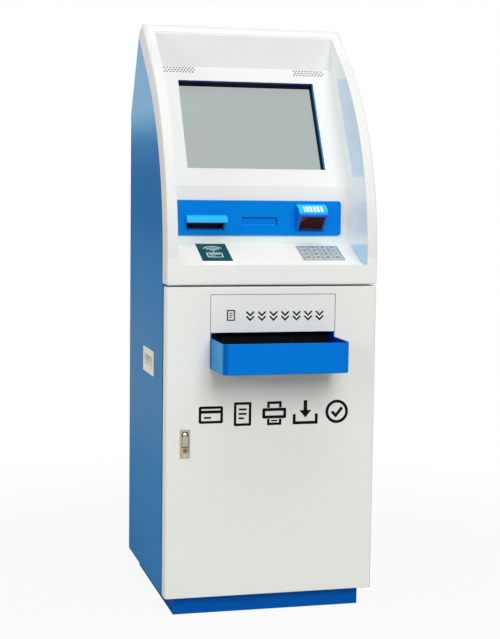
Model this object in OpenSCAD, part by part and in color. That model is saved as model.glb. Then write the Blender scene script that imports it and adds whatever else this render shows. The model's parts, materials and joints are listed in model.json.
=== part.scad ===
// Self-service report printing kiosk. Millimetres, +Z up, the front faces -Y.
// Inside the modules Y = 0 is the front face of the paper door; put() moves it all to the box centre.

/* [Cabinet] */
// Width across the side panels
cab_w = 560; // [520:5:600]
// Depth from the door's front face to the back
cab_d = 550; // [520:5:580]
// Fall from the top to where the back starts to lean forward
kink_fall = 238; // [190:2:290]
// Height of the plinth under the cabinet
base_z = 48; // [40:1:58]
// Sheet steel thickness
sheet = 2; // [1.5:0.5:2.5]
// How far the plinth is set in at the sides
plinth_in_x = 28; // [20:1:34]
// How far the plinth is set in at the front
plinth_in_y = 31; // [24:1:40]
// Floor anchor hole diameter
anchor_d = 12; // [10:1:14]
// Floor anchor spacing across
anchor_s = 420; // [400:5:430]
// Floor anchors in from the front and back of the plinth
anchor_in = 39.5; // [37:0.5:60]

/* [Front frame] */
// Overall height
top_z = 1550; // [1530:1:1570]
// Fall from the top to where the front starts to curve back
arc_fall = 623; // [610:1:635]
// Radius of the front curve
arc_r = 670; // [640:5:700]
// Angle the front has turned through at the top
arc_deg = 50; // [47:0.5:52]
// Depth of the frame's side return
frame_d = 59; // [52:1:64]
// Wall of the moulded frame
skin = 3; // [2.5:0.5:4]
// Width of the frame beside the alcove
flange_w = 27.5; // [24:0.5:32]
// Depth of the frame's flat top
crown_d = 53; // [46:1:58]
// Fall of the top towards the back
crown_fall = 18; // [14:1:22]
// Width of the frame over the alcove
top_flange = 30; // [24:1:36]
// Height of the sill's top edge
sill_z = 915; // [906:1:920]
// Gap left at each seam of the frame
seam = 0.4; // [0.3:0.1:0.8]

/* [Alcove] */
// Depth of the fascia behind the door face
fascia_y = 163; // [150:1:175]
// Fall from the top to the bend between fascia and screen panel
bend_fall = 436; // [425:1:450]
// Lean of the screen panel from upright
lean = 29.5; // [28:0.5:33]
// Height of the shelf's back edge
shelf_z = 965; // [958:1:972]
// Slope of the shelf
shelf_deg = 22; // [19:0.5:24]

/* [Screen] */
// Width of the screen opening
scr_w = 379; // [360:1:385]
// Height of the screen opening up the slope
scr_h = 272; // [260:1:285]
// Start of the opening above the bend
scr_s = 54; // [48:1:58]
// Panel left above the screen opening
panel_top = 47; // [44:1:52]
// Depth of the touch frame
touch_d = 28; // [22:1:34]
// Middle of each speaker from the centre line
spk_x = 184; // [170:1:190]
// Speaker hole diameter
spk_hole = 4.6; // [3:0.2:5]
// Spacing of speaker holes
spk_pitch = 8.8; // [8:0.1:9]

/* [Control strip] */
// Length of the strip
strip_w = 458; // [440:1:470]
// Lower edge of the strip
strip_z0 = 984; // [980:1:990]
// Upper edge of the strip
strip_z1 = 1077; // [1070:1:1084]
// Thickness of the strip
strip_t = 6; // [5:0.5:8]
// Reach of the receipt hood
hood_r = 24; // [20:1:28]
// Middle of the receipt mouth
receipt_x = -146; // [-150:1:-140]
// Width of the receipt hood
receipt_w = 110; // [100:1:114]
// Middle of the scanner hood
scan_x = 140; // [134:1:146]
// Width of the scanner hood
scan_w = 81; // [74:1:88]
// Height of the scanner hood
scan_h = 71; // [66:1:74]
// Reach of the scanner hood
scan_out = 42; // [36:1:46]
// Fall of the scanner hood's round top
scan_fall = 27; // [22:1:32]
// Width of the blank slot
slot_w = 96; // [80:1:100]
// Height of the blank slot
slot_h = 20; // [16:1:24]

/* [Keypad] */
// Middle of the keypad
pad_x = 152.5; // [146:0.5:158]
// Width of the keypad plate
pad_w = 112; // [108:1:118]
// Length of the keypad plate down the shelf
pad_l = 84; // [82:1:90]
// Back edge of the plate down the shelf
pad_s = 29; // [24:1:32]
// Key width
key_w = 21; // [18:0.5:23]
// Key length
key_l = 14.5; // [12:0.5:16]
// Key travel
key_travel = 2; // [1:0.5:3]
// Side clearance of a key
key_gap = 0.3; // [0.2:0.1:0.5]

/* [Card reader] */
// Middle of the reading area
card_x = -135; // [-140:1:-130]
// Width of the reading area
card_w = 81; // [74:1:88]
// Length of the reading area down the shelf
card_l = 105; // [96:1:112]
// Back edge of the reading area down the shelf
card_s = 10; // [8:1:14]
// Height of the reader under the shelf
reader_h = 42; // [30:1:48]

/* [Paper door] */
// Top of the door
door_z1 = 859; // [850:1:864]
// Gap between door and frame
split_gap = 4; // [3:0.5:5]
// Depth of the door
door_t = 40; // [34:1:42]
// Edge radius of the door
door_r = 6; // [4:1:8]
// Front of the jamb behind the door face
jamb_y = 53; // [52:0.5:56]
// Depth of the jamb
jamb_d = 22; // [18:1:26]
// Half width of the report outlet
out_x = 166.5; // [155:0.5:175]
// Underside of the tray
tray_z0 = 649; // [640:1:655]
// Rim of the tray
tray_z1 = 727.5; // [720:0.5:734]
// Lower edge of the outlet plate
plate_z0 = 741.5; // [738:0.5:748]
// Upper edge of the outlet plate
plate_z1 = 839.5; // [832:0.5:842]
// Gap round the outlet plate
plate_gap = 1.2; // [0.8:0.1:1.6]
// Reach of the tray in front of the door
tray_out = 138; // [125:1:150]
// Depth of the tray's throat behind the door face
throat_d = 36; // [30:1:38]
// Corner radius of the tray
tray_r = 16; // [10:1:24]
// Gap under the door
door_gap = 2.5; // [2:0.5:4]

/* [Lock] */
// Middle of the lock in from the door's edge
lock_in = 49.5; // [45:0.5:54]
// Lower edge of the lock plate
lock_z = 419; // [410:1:430]
// Lock plate width
lock_w = 26; // [25:1:30]
// Lock plate height
lock_h = 74; // [72:1:80]
// Running clearance of pins and plugs
run_gap = 0.05; // [0.03:0.01:0.1]

/* [Pull handles] */
// Middle of the handle behind the door face
pull_y = 247; // [220:1:280]
// Middle of the handle above the floor
pull_z = 641; // [600:1:700]
// Handle plate length
pull_l = 150; // [140:1:160]
// Handle plate height
pull_h = 67; // [60:1:74]
// Depth of the finger cup
pull_d = 28; // [22:1:32]

/* [Inside] */
// Height of the printer shelf
bay_z = 470; // [455:1:480]
// Width of the report printer
prn_w = 420; // [400:5:430]
// Height of the report printer
prn_h = 320; // [310:1:330]
// Front of the report printer behind the door face
prn_y = 112; // [104:1:120]
// Width of the paper chute
chute_w = 316; // [300:1:326]
// Width of the computer
cpu_w = 300; // [260:5:340]
// Depth of the computer
cpu_d = 300; // [260:5:330]
// Height of the computer
cpu_h = 95; // [80:1:110]
// Depth of the receipt printer
slip_d = 118; // [100:1:130]

/* [Back] */
// Length of a louvre
vent_w = 120; // [100:5:130]
// Height of a louvre
vent_h = 6; // [5:0.5:8]
// Spacing of louvres up the back
vent_p = 18; // [15:1:22]
// Lowest louvre
vent_z = 1120; // [1080:5:1140]
// Middle of the mains inlet above the floor
inlet_z = 124; // [110:1:150]
// Width of the inlet's flange
inlet_w = 64; // [60:1:70]
// Height of the inlet's flange
inlet_h = 36; // [34:1:40]

/* [Hidden] */
$fn = 96;
half = cab_w / 2;
kink_z = top_z - kink_fall;
arc_z = top_z - arc_fall;
bend_z = top_z - bend_fall;
in_x = half - sheet;
alc_x = half - flange_w;
inlet_t = 3;
inlet_x = inlet_w / 2 - 8;
inlet_k = inlet_h / 2 - 4;
y_mid = (cab_d + inlet_t - tray_out) / 2;
door_z0 = base_z + door_gap;
frame_z0 = door_z1 + split_gap;
back_y = cab_d - sheet;
plinth_y1 = cab_d - 20;
anchor_ys = [plinth_in_y + anchor_in, plinth_y1 - anchor_in];
lock_x = lock_in - half;
panel_len = scr_s + scr_h + panel_top;
nrm = [cos(arc_deg), -sin(arc_deg)];
run = [sin(arc_deg), cos(arc_deg)];
arc_end = [arc_r * (1 - cos(arc_deg)), arc_z + arc_r * sin(arc_deg)];
top_f = [arc_end.x + (top_z - arc_end.y) * tan(arc_deg), top_z];
top_b = [top_f.x + crown_d, top_z - crown_fall];
lip = top_f - top_flange * run;
// Front line of the alcove: header top, panel top, bend, shelf back, shelf front
p0 = lip + (skin + seam) * nrm;
p1 = [fascia_y + panel_len * sin(lean), bend_z + panel_len * cos(lean)];
p2 = [fascia_y, bend_z];
p3 = [fascia_y, shelf_z];
p4 = [skin, shelf_z - (fascia_y - skin) * tan(shelf_deg)];
function unit(v) = v / norm(v);
function back(a, b) = [-unit(b - a).y, unit(b - a).x];
function mitre(p, m, n) = p + sheet * (m + n) / (1 + m * n);
n01 = back(p0, p1);
n12 = back(p1, p2);
n23 = back(p2, p3);
n34 = back(p3, p4);
q0 = p0 + sheet * n01;
q1 = mitre(p1, n01, n12);
q2 = mitre(p2, n12, n23);
q3 = mitre(p3, n23, n34);
q4 = [skin, p4.y - sheet / cos(shelf_deg)];
strip_y = fascia_y - strip_t;
mouth_z0 = strip_z0 + 14;
mouth_z1 = mouth_z0 + 24;
hood_z = mouth_z0 + 16;
slot_x = 2;
slot_z = strip_z0 + 38;
scan_z0 = mouth_z0 - 1;
scan_z1 = scan_z0 + scan_h;
scan_lip = [strip_y - scan_out, scan_z1 - scan_fall];
scan_r = (scan_out * scan_out + scan_fall * scan_fall) / (2 * scan_fall);
lip_h = 3;
win_a = [strip_y - 5, scan_z0];
win_b = [scan_lip.x + 3, scan_lip.y - 5];
win_deg = atan2(win_a.x - win_b.x, win_b.y - win_a.y);
win_len = norm(win_b - win_a);
win_t = 3;
pad_th = 2;
pad_deep = 22;
key_z0 = -4;
pocket_z = key_z0 - key_travel - 2;
key_z1 = 4;
key_px = (pad_w - key_w - 10) / 3;
key_py = (pad_l - key_l - 9) / 3;
hinge_x = half - 6;
hinge_y = jamb_y - 6;
hinge_r = 5;
pin_r = 2.5;
hinge_len = 45;
knuckle_h = 12;
knuckle_gap = 0.3;
leaf_w = 14;
shelf_lip = 26;
shelf_out = 20;
chute_drop = 44;
chute_wall = 18;
hinge_zs = [base_z + 100, door_z1 - 160];
grip_z = lock_z + 32;
grip_y = -1.5;
grip_r = 3.5;
grip_w = 16;
grip_pin = 1.5;
key_cz = lock_z + 20.5;
plug_r = 6;
cam_y = jamb_y + jamb_d + 3;
cam_t = 3;
cam_l = 40;
fit_gap = 0.5;

module put() translate([0, -y_mid, 0]) children();

// Side profile drawn as (Y, Z), pulled along X
module along(x0, x1)
  translate([x0, 0, 0]) rotate([90, 0, 90]) linear_extrude(height = x1 - x0) children();

module box(a, b) translate(a) cube(b - a);

module on_panel() translate([0, p2.x, p2.y]) rotate([-lean, 0, 0]) children();

module on_shelf() translate([0, p3.x, p3.y]) rotate([shelf_deg, 0, 0]) children();

module rounded(w, h, r) {
  square([w - 2 * r, h], center = true);
  square([w, h - 2 * r], center = true);
  for (x = [-1, 1], y = [-1, 1])
    translate([x * (w / 2 - r), y * (h / 2 - r)]) circle(r = r);
}

// Everything behind the front surface by at least off, above z0, with the top lowered by drop
module body(off, x0, x1, z0, drop = 0) intersection() {
  union() {
    along(x0, x1) polygon([[off, 0], [off, arc_z], [arc_r, arc_z], arc_end + off * nrm,
      top_f + off * nrm + 150 * run, [cab_d + 200, top_z + 150], [cab_d + 200, 0]]);
    along(x0, x1) translate([arc_r, arc_z]) circle(r = arc_r - off, $fn = 360);
  }
  along(x0, x1) polygon([[-1, z0], [cab_d, z0], [cab_d, kink_z - drop], top_b - [0, drop],
    top_f - [0, drop], [-1, top_z - drop]]);
}

module at_anchors() for (i = [-1, 1], y = anchor_ys)
  translate([i * anchor_s / 2, y, -1]) children();

module plinth() color([0.0, 0.25, 0.55]) put() {
  x = half - plinth_in_x;
  y0 = plinth_in_y;
  y1 = plinth_y1;
  difference() {
    box([-x, y0, 0], [x, y1, base_z]);
    box([-x + sheet, y0 + sheet, 4], [x - sheet, y1 - sheet, base_z - sheet]);
    box([-x + sheet, jamb_y + sheet, 4], [x - sheet, y1 - sheet, base_z + 1]);
    box([-x + 60, y0 + 60, -1], [x - 60, y1 - 60, 5]);
    at_anchors() cylinder(d = anchor_d, h = 6);
    at_anchors() translate([0, 0, 6]) cylinder(d = 2 * anchor_d + 4, h = base_z + 9);
  }
}

module base_pan() color([0.1, 0.35, 0.6]) put() difference() {
  box([-in_x, jamb_y, base_z], [in_x, back_y, base_z + sheet]);
  at_anchors() cylinder(d = 2 * anchor_d + 4, h = base_z + 9);
}

module side_sheet(x0, x1) difference() {
  body(frame_d + seam, x0, x1, base_z);
  along(x0 - 1, x1 + 1) translate([pull_y, pull_z]) square([pull_l - 20, pull_h - 16], center = true);
}

module left_side_panel() color([0.2, 0.42, 0.64]) put() side_sheet(-half, -in_x);

module right_side_panel() color([0.2, 0.42, 0.64]) put() side_sheet(in_x, half);

module pull_cup() {
  cl = pull_l - 22;
  ch = pull_h - 18;
  difference() {
    union() {
      along(half, half + sheet) translate([pull_y, pull_z]) rounded(pull_l, pull_h, 6);
      along(half - pull_d, half) translate([pull_y, pull_z]) rounded(cl, ch, 4);
    }
    along(half - pull_d + sheet, half + sheet + 1) translate([pull_y, pull_z]) rounded(cl - 5, ch - 5, 2);
  }
  along(half - 4, half + sheet) translate([pull_y - cl / 2 + 1, pull_z + ch / 2 - 9.5]) square([cl - 2, 8]);
}

module left_pull_handle() color([0.9, 0.9, 0.88]) put() mirror([1, 0, 0]) pull_cup();

module right_pull_handle() color([0.9, 0.9, 0.88]) put() pull_cup();

module rear_panel() color([0.2, 0.42, 0.64]) put() {
  m = [-1, 0];
  k = back([cab_d, kink_z], top_b);
  bend = [cab_d, kink_z] + sheet * (m + k) / (1 + m * k);
  end = top_b + sheet * k;
  low = 16 * unit([cab_d, kink_z] - top_b);
  difference() {
    along(-in_x, in_x)
      polygon([[cab_d, base_z], [cab_d, kink_z], top_b + low, end + low, bend, [back_y, base_z]]);
    for (i = [0 : 6], j = [-1 : 1])
      translate([j * (vent_w + 30), back_y - 1, vent_z + vent_p * i])
        box([-vent_w / 2, 0, 0], [vent_w / 2, sheet + 2, vent_h]);
    translate([0, back_y - 1, inlet_z]) box([-inlet_x - fit_gap, 0, -inlet_k - fit_gap],
      [inlet_x + fit_gap, sheet + 2, inlet_k + fit_gap]);
  }
}

module door_jamb() color([0.1, 0.25, 0.45]) put() {
  y1 = jamb_y + jamb_d;
  z0 = base_z + sheet;
  wide = 28;
  difference() {
    union() {
      box([-in_x, jamb_y, z0], [in_x, y1, frame_z0]);
      box([-in_x + wide - sheet, door_t + 1.5, z0 + wide - sheet], [in_x - wide + sheet, jamb_y + 1,
        frame_z0 - 25 + sheet]);
    }
    box([-in_x + wide, door_t, z0 + wide], [in_x - wide, y1 + 1, frame_z0 - 25]);
    difference() {
      box([-in_x + sheet, jamb_y + sheet, z0 + sheet], [in_x - sheet, y1 + 1, frame_z0 - sheet]);
      box([-in_x + wide - sheet, jamb_y, z0 + wide - sheet], [in_x - wide + sheet, y1 + 2,
        frame_z0 - 25 + sheet]);
    }
  }
  // both posts are closed at the back
  for (x = [-in_x, in_x - wide])
    box([x, y1 - sheet, z0], [x + wide, y1, frame_z0]);
}

module front_frame() color([0.95, 0.96, 0.95]) put() difference() {
  body(0, -half, half, frame_z0);
  body(frame_d, -half - 1, half + 1, frame_z0 - 1);
  body(skin, -half + skin, half - skin, frame_z0 + skin, skin);
  along(-alc_x, alc_x) translate([-5, sill_z]) square([lip.x + 9, lip.y - sill_z]);
}

module header_panel() color([0.88, 0.89, 0.88]) put()
  along(-alc_x, alc_x) polygon([p0, p1, q1, q0]);

module cheek_sheet(x0, x1) intersection() {
  body(skin + seam, x0, x1, frame_z0);
  along(x0, x1) polygon([p0 + [14, 12], p1 + [20, 0], p2 + [20, 0], p3 + [20, -12],
    [frame_d, frame_z0 + skin], [0, frame_z0 + skin], [0, sill_z], [0, lip.y], lip]);
}

module left_cheek() color([0.85, 0.88, 0.9]) put() cheek_sheet(-alc_x - sheet, -alc_x);

module right_cheek() color([0.85, 0.88, 0.9]) put() cheek_sheet(alc_x, alc_x + sheet);

module speaker_holes(x) for (r = [0 : 2], c = [0 : 9])
  translate([x + (c - 4.75 + 0.5 * (r % 2)) * spk_pitch, -1, panel_len - 18 + 0.75 * spk_pitch * r])
    rotate([-90, 0, 0]) cylinder(d = spk_hole, h = sheet + 2, $fn = 24);

module screen_panel() color([0.94, 0.95, 0.95]) put() difference() {
  along(-alc_x, alc_x) polygon([p1, p2, q2, q1]);
  on_panel() {
    box([-scr_w / 2, -5, scr_s], [scr_w / 2, 10, scr_s + scr_h]);
    speaker_holes(-spk_x);
    speaker_holes(spk_x);
  }
}

module fascia_panel() color([0.88, 0.9, 0.89]) put() difference() {
  along(-alc_x, alc_x) polygon([p2, p3, q3, q2]);
  box([receipt_x - receipt_w / 2 + 4, 0, mouth_z0], [receipt_x + receipt_w / 2 - 4, cab_d, mouth_z1]);
  box([scan_x - 32, 0, scan_z0 + 6], [scan_x + 32, cab_d, scan_z1 - 12]);
}

module shelf_panel() color([0.95, 0.96, 0.95]) put() difference() {
  along(-alc_x, alc_x) polygon([p3, p4, q4, q3]);
  on_shelf() translate([pad_x, -pad_s - pad_l / 2, 0])
    cube([pad_w - 8 + 2 * fit_gap, pad_l - 8 + 2 * fit_gap, 20], center = true);
}

module control_strip() color([0.0, 0.45, 0.85]) put() difference() {
  translate([0, fascia_y, (strip_z0 + strip_z1) / 2]) rotate([90, 0, 0])
    linear_extrude(height = strip_t) rounded(strip_w, strip_z1 - strip_z0, 9);
  box([receipt_x - receipt_w / 2 + 4, 0, mouth_z0], [receipt_x + receipt_w / 2 - 4, cab_d, mouth_z1]);
  box([slot_x - slot_w / 2, 0, slot_z - slot_h / 2], [slot_x + slot_w / 2, cab_d, slot_z + slot_h / 2]);
  box([scan_x - 32, 0, scan_z0 + 6], [scan_x + 32, cab_d, scan_z1 - 12]);
}

module receipt_hood() color([0.1, 0.65, 0.95]) put() {
  x = receipt_w / 2;
  difference() {
    along(receipt_x - x, receipt_x + x) intersection() {
      translate([strip_y, hood_z]) circle(r = hood_r);
      translate([strip_y - hood_r, hood_z]) square([hood_r, hood_r]);
    }
    along(receipt_x - x + 3, receipt_x + x - 3) translate([strip_y, hood_z]) circle(r = hood_r - 4);
  }
}

module slot_cover() color([0.0, 0.42, 0.82]) put()
  box([slot_x - slot_w / 2, fascia_y - 2, slot_z - slot_h / 2],
    [slot_x + slot_w / 2, fascia_y, slot_z + slot_h / 2]);

module at_window() translate([scan_x, win_a.x, win_a.y]) rotate([win_deg, 0, 0]) children();

module scanner_hood() color([0.0, 0.5, 0.9]) put() difference() {
  union() {
    along(scan_x - scan_w / 2, scan_x + scan_w / 2) intersection() {
      translate([strip_y, scan_z1 - scan_r]) circle(r = scan_r);
      translate(scan_lip - [0, lip_h]) square([scan_out, scan_fall + lip_h]);
    }
    along(scan_x - scan_w / 2, scan_x + scan_w / 2)
      polygon([[strip_y, scan_lip.y - lip_h + 1], scan_lip - [0, lip_h - 1], scan_lip - [0, lip_h],
        win_b, win_a, [strip_y, scan_z0]]);
  }
  at_window() box([-scan_w / 2 + 9, -1, 5], [scan_w / 2 - 9, win_t, win_len - 4]);
  box([scan_x - 28, strip_y - 14, scan_z0 + 22], [scan_x + 28, strip_y + 1, scan_z1 - 16]);
}

module scanner_window() color([0.25, 0.02, 0.03]) put()
  at_window() box([-scan_w / 2 + 9, 0.8, 5], [scan_w / 2 - 9, win_t, win_len - 4]);

module touch_frame() color([0.05, 0.05, 0.06]) put() on_panel() difference() {
  box([-scr_w / 2 - 18, sheet + run_gap, scr_s - 16],
    [scr_w / 2 + 18, sheet + touch_d, scr_s + scr_h + 16]);
  box([-scr_w / 2, 0, scr_s], [scr_w / 2, 40, scr_s + scr_h]);
}

module screen_glass() color([0.68, 0.71, 0.7]) put() on_panel()
  box([-scr_w / 2 - 12, sheet + touch_d, scr_s - 10],
    [scr_w / 2 + 12, sheet + touch_d + 4, scr_s + scr_h + 10]);

module lcd_module() color([0.3, 0.31, 0.32]) put() on_panel() {
  y = sheet + touch_d + 4;
  box([-scr_w / 2 - 12, y, scr_s - 10], [scr_w / 2 + 12, y + 16, scr_s + scr_h + 10]);
  box([-100, y + 16, scr_s + 60], [100, y + 34, scr_s + scr_h - 60]);
}

module key_spot(i, j)
  on_shelf() translate([pad_x + (i - 1.5) * key_px, -pad_s - pad_l / 2 + (1.5 - j) * key_py, 0]) children();

module key(i, j) color([0.75, 0.76, 0.77]) put() key_spot(i, j) {
  box([-key_w / 2, -key_l / 2, key_z0], [key_w / 2, key_l / 2, key_z1]);
}

module keypad_base() color([0.62, 0.64, 0.65]) put() difference() {
  on_shelf() translate([pad_x, -pad_s - pad_l / 2, 0]) {
    box([-pad_w / 2, -pad_l / 2, 0], [pad_w / 2, pad_l / 2, pad_th]);
    box([-pad_w / 2 + 4, -pad_l / 2 + 4, -pad_deep], [pad_w / 2 - 4, pad_l / 2 - 4, 0]);
  }
  for (i = [0 : 3], j = [0 : 3])
    key_spot(i, j) box([-key_w / 2 - key_gap, -key_l / 2 - key_gap, pocket_z],
      [key_w / 2 + key_gap, key_l / 2 + key_gap, 9]);
}

module key_1() key(0, 0);
module key_2() key(1, 0);
module key_3() key(2, 0);
module key_cancel() key(3, 0);
module key_4() key(0, 1);
module key_5() key(1, 1);
module key_6() key(2, 1);
module key_clear() key(3, 1);
module key_7() key(0, 2);
module key_8() key(1, 2);
module key_9() key(2, 2);
module key_blank() key(3, 2);
module key_star() key(0, 3);
module key_0() key(1, 3);
module key_hash() key(2, 3);
module key_enter() key(3, 3);

module card_reader() color([0.15, 0.15, 0.16]) put() on_shelf() difference() {
  y0 = -card_s - card_l;
  box([card_x - card_w / 2, y0, -reader_h], [card_x + card_w / 2, -card_s - 4, -sheet]);
  box([card_x - card_w / 4, y0 - 1, 6 - reader_h], [card_x + card_w / 4, y0 + 8, 18 - reader_h]);
}

module reader_label() color([0.08, 0.33, 0.37]) put() on_shelf()
  box([card_x - card_w / 2, -card_s - card_l, 0], [card_x + card_w / 2, -card_s, 0.8]);

module receipt_printer() color([0.12, 0.12, 0.13]) put() {
  y = fascia_y + sheet;
  x = receipt_w / 2 + 6;
  difference() {
    box([receipt_x - x, y, mouth_z0 - 20], [receipt_x + x, y + slip_d, mouth_z1 + 50]);
    box([receipt_x - x + 14, y - 1, mouth_z0 + 4], [receipt_x + x - 14, y + 40, mouth_z0 + 16]);
  }
}

module speaker(x) on_panel() {
  box([x - 46, sheet, panel_len - 27], [x + 46, sheet + 5, panel_len - 2]);
  translate([x, sheet + 5, panel_len - 15]) rotate([-90, 0, 0]) cylinder(r = 12, h = 16);
}

module left_speaker() color([0.1, 0.1, 0.1]) put() speaker(-spk_x);

module right_speaker() color([0.1, 0.1, 0.1]) put() speaker(spk_x);

module printer_shelf() color([0.55, 0.57, 0.58]) put() {
  y0 = prn_y - shelf_out;
  box([-in_x, y0, bay_z - sheet], [in_x, back_y, bay_z]);
  box([-in_x, y0, bay_z - shelf_lip], [in_x, y0 + sheet, bay_z - sheet]);
}

module report_printer() color([0.78, 0.78, 0.76]) put() {
  z1 = bay_z + prn_h;
  y1 = back_y - 40;
  difference() {
    box([-prn_w / 2, prn_y, bay_z], [prn_w / 2, y1, z1]);
    box([-prn_w / 2 + 8, prn_y + 30, bay_z + 8], [prn_w / 2 - 8, y1 + 1, z1 - 8]);
    box([-chute_w / 2 + 8, prn_y - 1, z1 - chute_drop + 2],
      [chute_w / 2 - 8, prn_y + 22, z1 - chute_drop / 2]);
    box([-prn_w / 2 + 30, prn_y - 1, bay_z + 90], [prn_w / 2 - 30, prn_y + 4, bay_z + 94]);
    box([-60, prn_y - 1, bay_z + 60], [60, prn_y + 14, bay_z + 76]);
  }
}

module paper_chute() color([0.6, 0.62, 0.63]) put() {
  z = bay_z + prn_h - chute_drop;
  y0 = door_t + 6;
  zf = plate_z0 - 12;
  x = chute_w / 2;
  along(-x, x) polygon([[y0, zf], [prn_y - sheet, z - sheet], [prn_y - sheet, z - 34], [prn_y, z - 34],
    [prn_y, z], [y0, zf + sheet]]);
  for (s = [-x, x - sheet])
    along(s, s + sheet)
      polygon([[y0, zf + 1], [prn_y, z - 1], [prn_y, z + chute_wall], [y0, zf + sheet + chute_wall]]);
}

module computer() color([0.1, 0.1, 0.11]) put() {
  z = base_z + sheet;
  y1 = back_y - 78;
  y0 = y1 - cpu_d;
  difference() {
    box([-cpu_w / 2, y0, z], [cpu_w / 2, y1, z + cpu_h]);
    box([-cpu_w / 2 + sheet, y0 + 12, z + sheet], [cpu_w / 2 - sheet, y1 + 1, z + cpu_h - sheet]);
    for (i = [-3.5 : 3.5])
      box([cpu_w / 12 * i - 5, y0 - 1, z + 30], [cpu_w / 12 * i + 5, y0 + 6, z + cpu_h - 25]);
  }
}

module power_inlet() color([0.06, 0.06, 0.06]) put() translate([0, cab_d, inlet_z]) difference() {
  union() {
    box([-inlet_w / 2, 0, -inlet_h / 2], [inlet_w / 2, inlet_t, inlet_h / 2]);
    box([-inlet_x, -30, -inlet_k], [inlet_x, 0, inlet_k]);
  }
  box([-13, -14, -9], [13, inlet_t + 1, 9]);
}

module knuckle(z, r, h) translate([hinge_x, hinge_y, z]) cylinder(r = r, h = h);

module jamb_hinges() color([0.65, 0.66, 0.67]) put() for (z = hinge_zs) {
  knuckle(z, pin_r, hinge_len);
  for (k = [z, z + hinge_len - knuckle_h]) {
    knuckle(k, hinge_r, knuckle_h);
    box([hinge_x - leaf_w, hinge_y + 2, k], [hinge_x, jamb_y, k + knuckle_h]);
  }
}

module door_hinges() color([0.65, 0.66, 0.67]) put() for (z = hinge_zs) difference() {
  k = knuckle_h + knuckle_gap;
  union() {
    knuckle(z + k, hinge_r, hinge_len - 2 * k);
    box([hinge_x - leaf_w, door_t, z + k], [hinge_x, hinge_y - 2, z + hinge_len - k]);
  }
  knuckle(z, pin_r + run_gap, hinge_len);
}

module pan_outline(r, w, d) {
  square_y = d - r;
  translate([-w / 2, r]) square([w, square_y]);
  translate([-w / 2 + r, 0]) square([w - 2 * r, r + 1]);
  for (s = [-1, 1])
    translate([s * (w / 2 - r), r]) circle(r = r);
}

module paper_door() color([0.87, 0.88, 0.86]) put() difference() {
  translate([0, 0, door_z0]) linear_extrude(height = door_z1 - door_z0) pan_outline(door_r, cab_w, door_t);
  translate([0, sheet, door_z0 + sheet]) linear_extrude(height = door_z1 - door_z0 - 2 * sheet)
    pan_outline(door_r - sheet, cab_w - 2 * sheet, door_t - 2 * sheet);
  box([-half + 24, door_t - sheet - 1, door_z0 + 24], [half - 24, door_t + 1, door_z1 - 16]);
  box([-out_x, -1, tray_z0], [out_x, sheet + 1, plate_z1]);
  box([lock_x - 11, -1, lock_z + 2.5], [lock_x + 11, sheet + 1, lock_z + lock_h - 1.5]);
}

module outlet_plate() color([0.9, 0.91, 0.9]) put() {
  x = out_x - plate_gap;
  box([-x, 0, plate_z0], [x, sheet, plate_z1 - plate_gap]);
  box([-out_x - 11, sheet, plate_z0], [out_x + 11, 2 * sheet, plate_z1 + 10]);
}

module tray_plan(r, x, y0, y1) {
  translate([-x, y0 + r]) square([2 * x, y1 - y0 - r]);
  translate([-x + r, y0]) square([2 * x - 2 * r, r + 1]);
  for (s = [-1, 1])
    translate([s * (x - r), y0 + r]) circle(r = r);
}

module outlet_tray() color([0.0, 0.45, 0.85]) put() {
  x = out_x - fit_gap;
  z = tray_z0 + fit_gap;
  difference() {
    translate([0, 0, z]) linear_extrude(height = tray_z1 - z) tray_plan(tray_r, x, -tray_out, sheet);
    translate([0, 0, z + skin]) linear_extrude(height = 200)
      tray_plan(tray_r - skin, x - skin, skin - tray_out, sheet + 1);
  }
  difference() {
    box([-out_x - 11, sheet, tray_z0 - 10], [out_x + 11, 2 * sheet, plate_z0]);
    box([-x + skin, 0, z + skin], [x - skin, 9, plate_z0 + 1]);
  }
  for (s = [-x, x - skin])
    box([s, 0, z], [s + skin, throat_d, plate_z0]);
  box([-x, 0, z], [x, throat_d, z + skin]);
}

module lock_plate() color([0.7, 0.67, 0.62]) put() difference() {
  union() {
    difference() {
      union() {
        box([lock_x - lock_w / 2, -2, lock_z], [lock_x + lock_w / 2, 0, lock_z + lock_h]);
        box([lock_x - 10.5, 0, lock_z + 3], [lock_x + 10.5, 20, lock_z + lock_h - 2]);
      }
      translate([lock_x, 14, 0]) rotate([90, 0, 0]) linear_extrude(height = 30) {
        translate([-grip_w / 2 - 0.5, grip_z - grip_r - fit_gap]) square([grip_w + 1, 33]);
        translate([0, grip_z - grip_r - fit_gap + 33]) circle(r = grip_w / 2 + 0.5);
      }
    }
    translate([lock_x - grip_w / 2 - 2, grip_y, grip_z]) rotate([0, 90, 0])
      cylinder(r = grip_pin, h = grip_w + 4);
    translate([lock_x, -1, key_cz]) rotate([90, 0, 0]) cylinder(r = grip_w / 2, h = 4);
    box([lock_x - grip_w / 2, -5, key_cz], [lock_x + grip_w / 2, -1, grip_z - grip_r - fit_gap]);
  }
  translate([lock_x, 30, key_cz]) rotate([90, 0, 0]) cylinder(r = plug_r + run_gap, h = 60);
}

module lock_handle() color([0.72, 0.69, 0.64]) put() difference() {
  union() {
    translate([lock_x - grip_w / 2, grip_y, grip_z]) rotate([0, 90, 0]) cylinder(r = grip_r, h = grip_w);
    box([lock_x - grip_w / 2, grip_y - grip_r, grip_z], [lock_x + grip_w / 2, grip_y + grip_r, grip_z + 25]);
  }
  translate([lock_x - grip_w, grip_y, grip_z]) rotate([0, 90, 0])
    cylinder(r = grip_pin + run_gap, h = 2 * grip_w);
}

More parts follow.
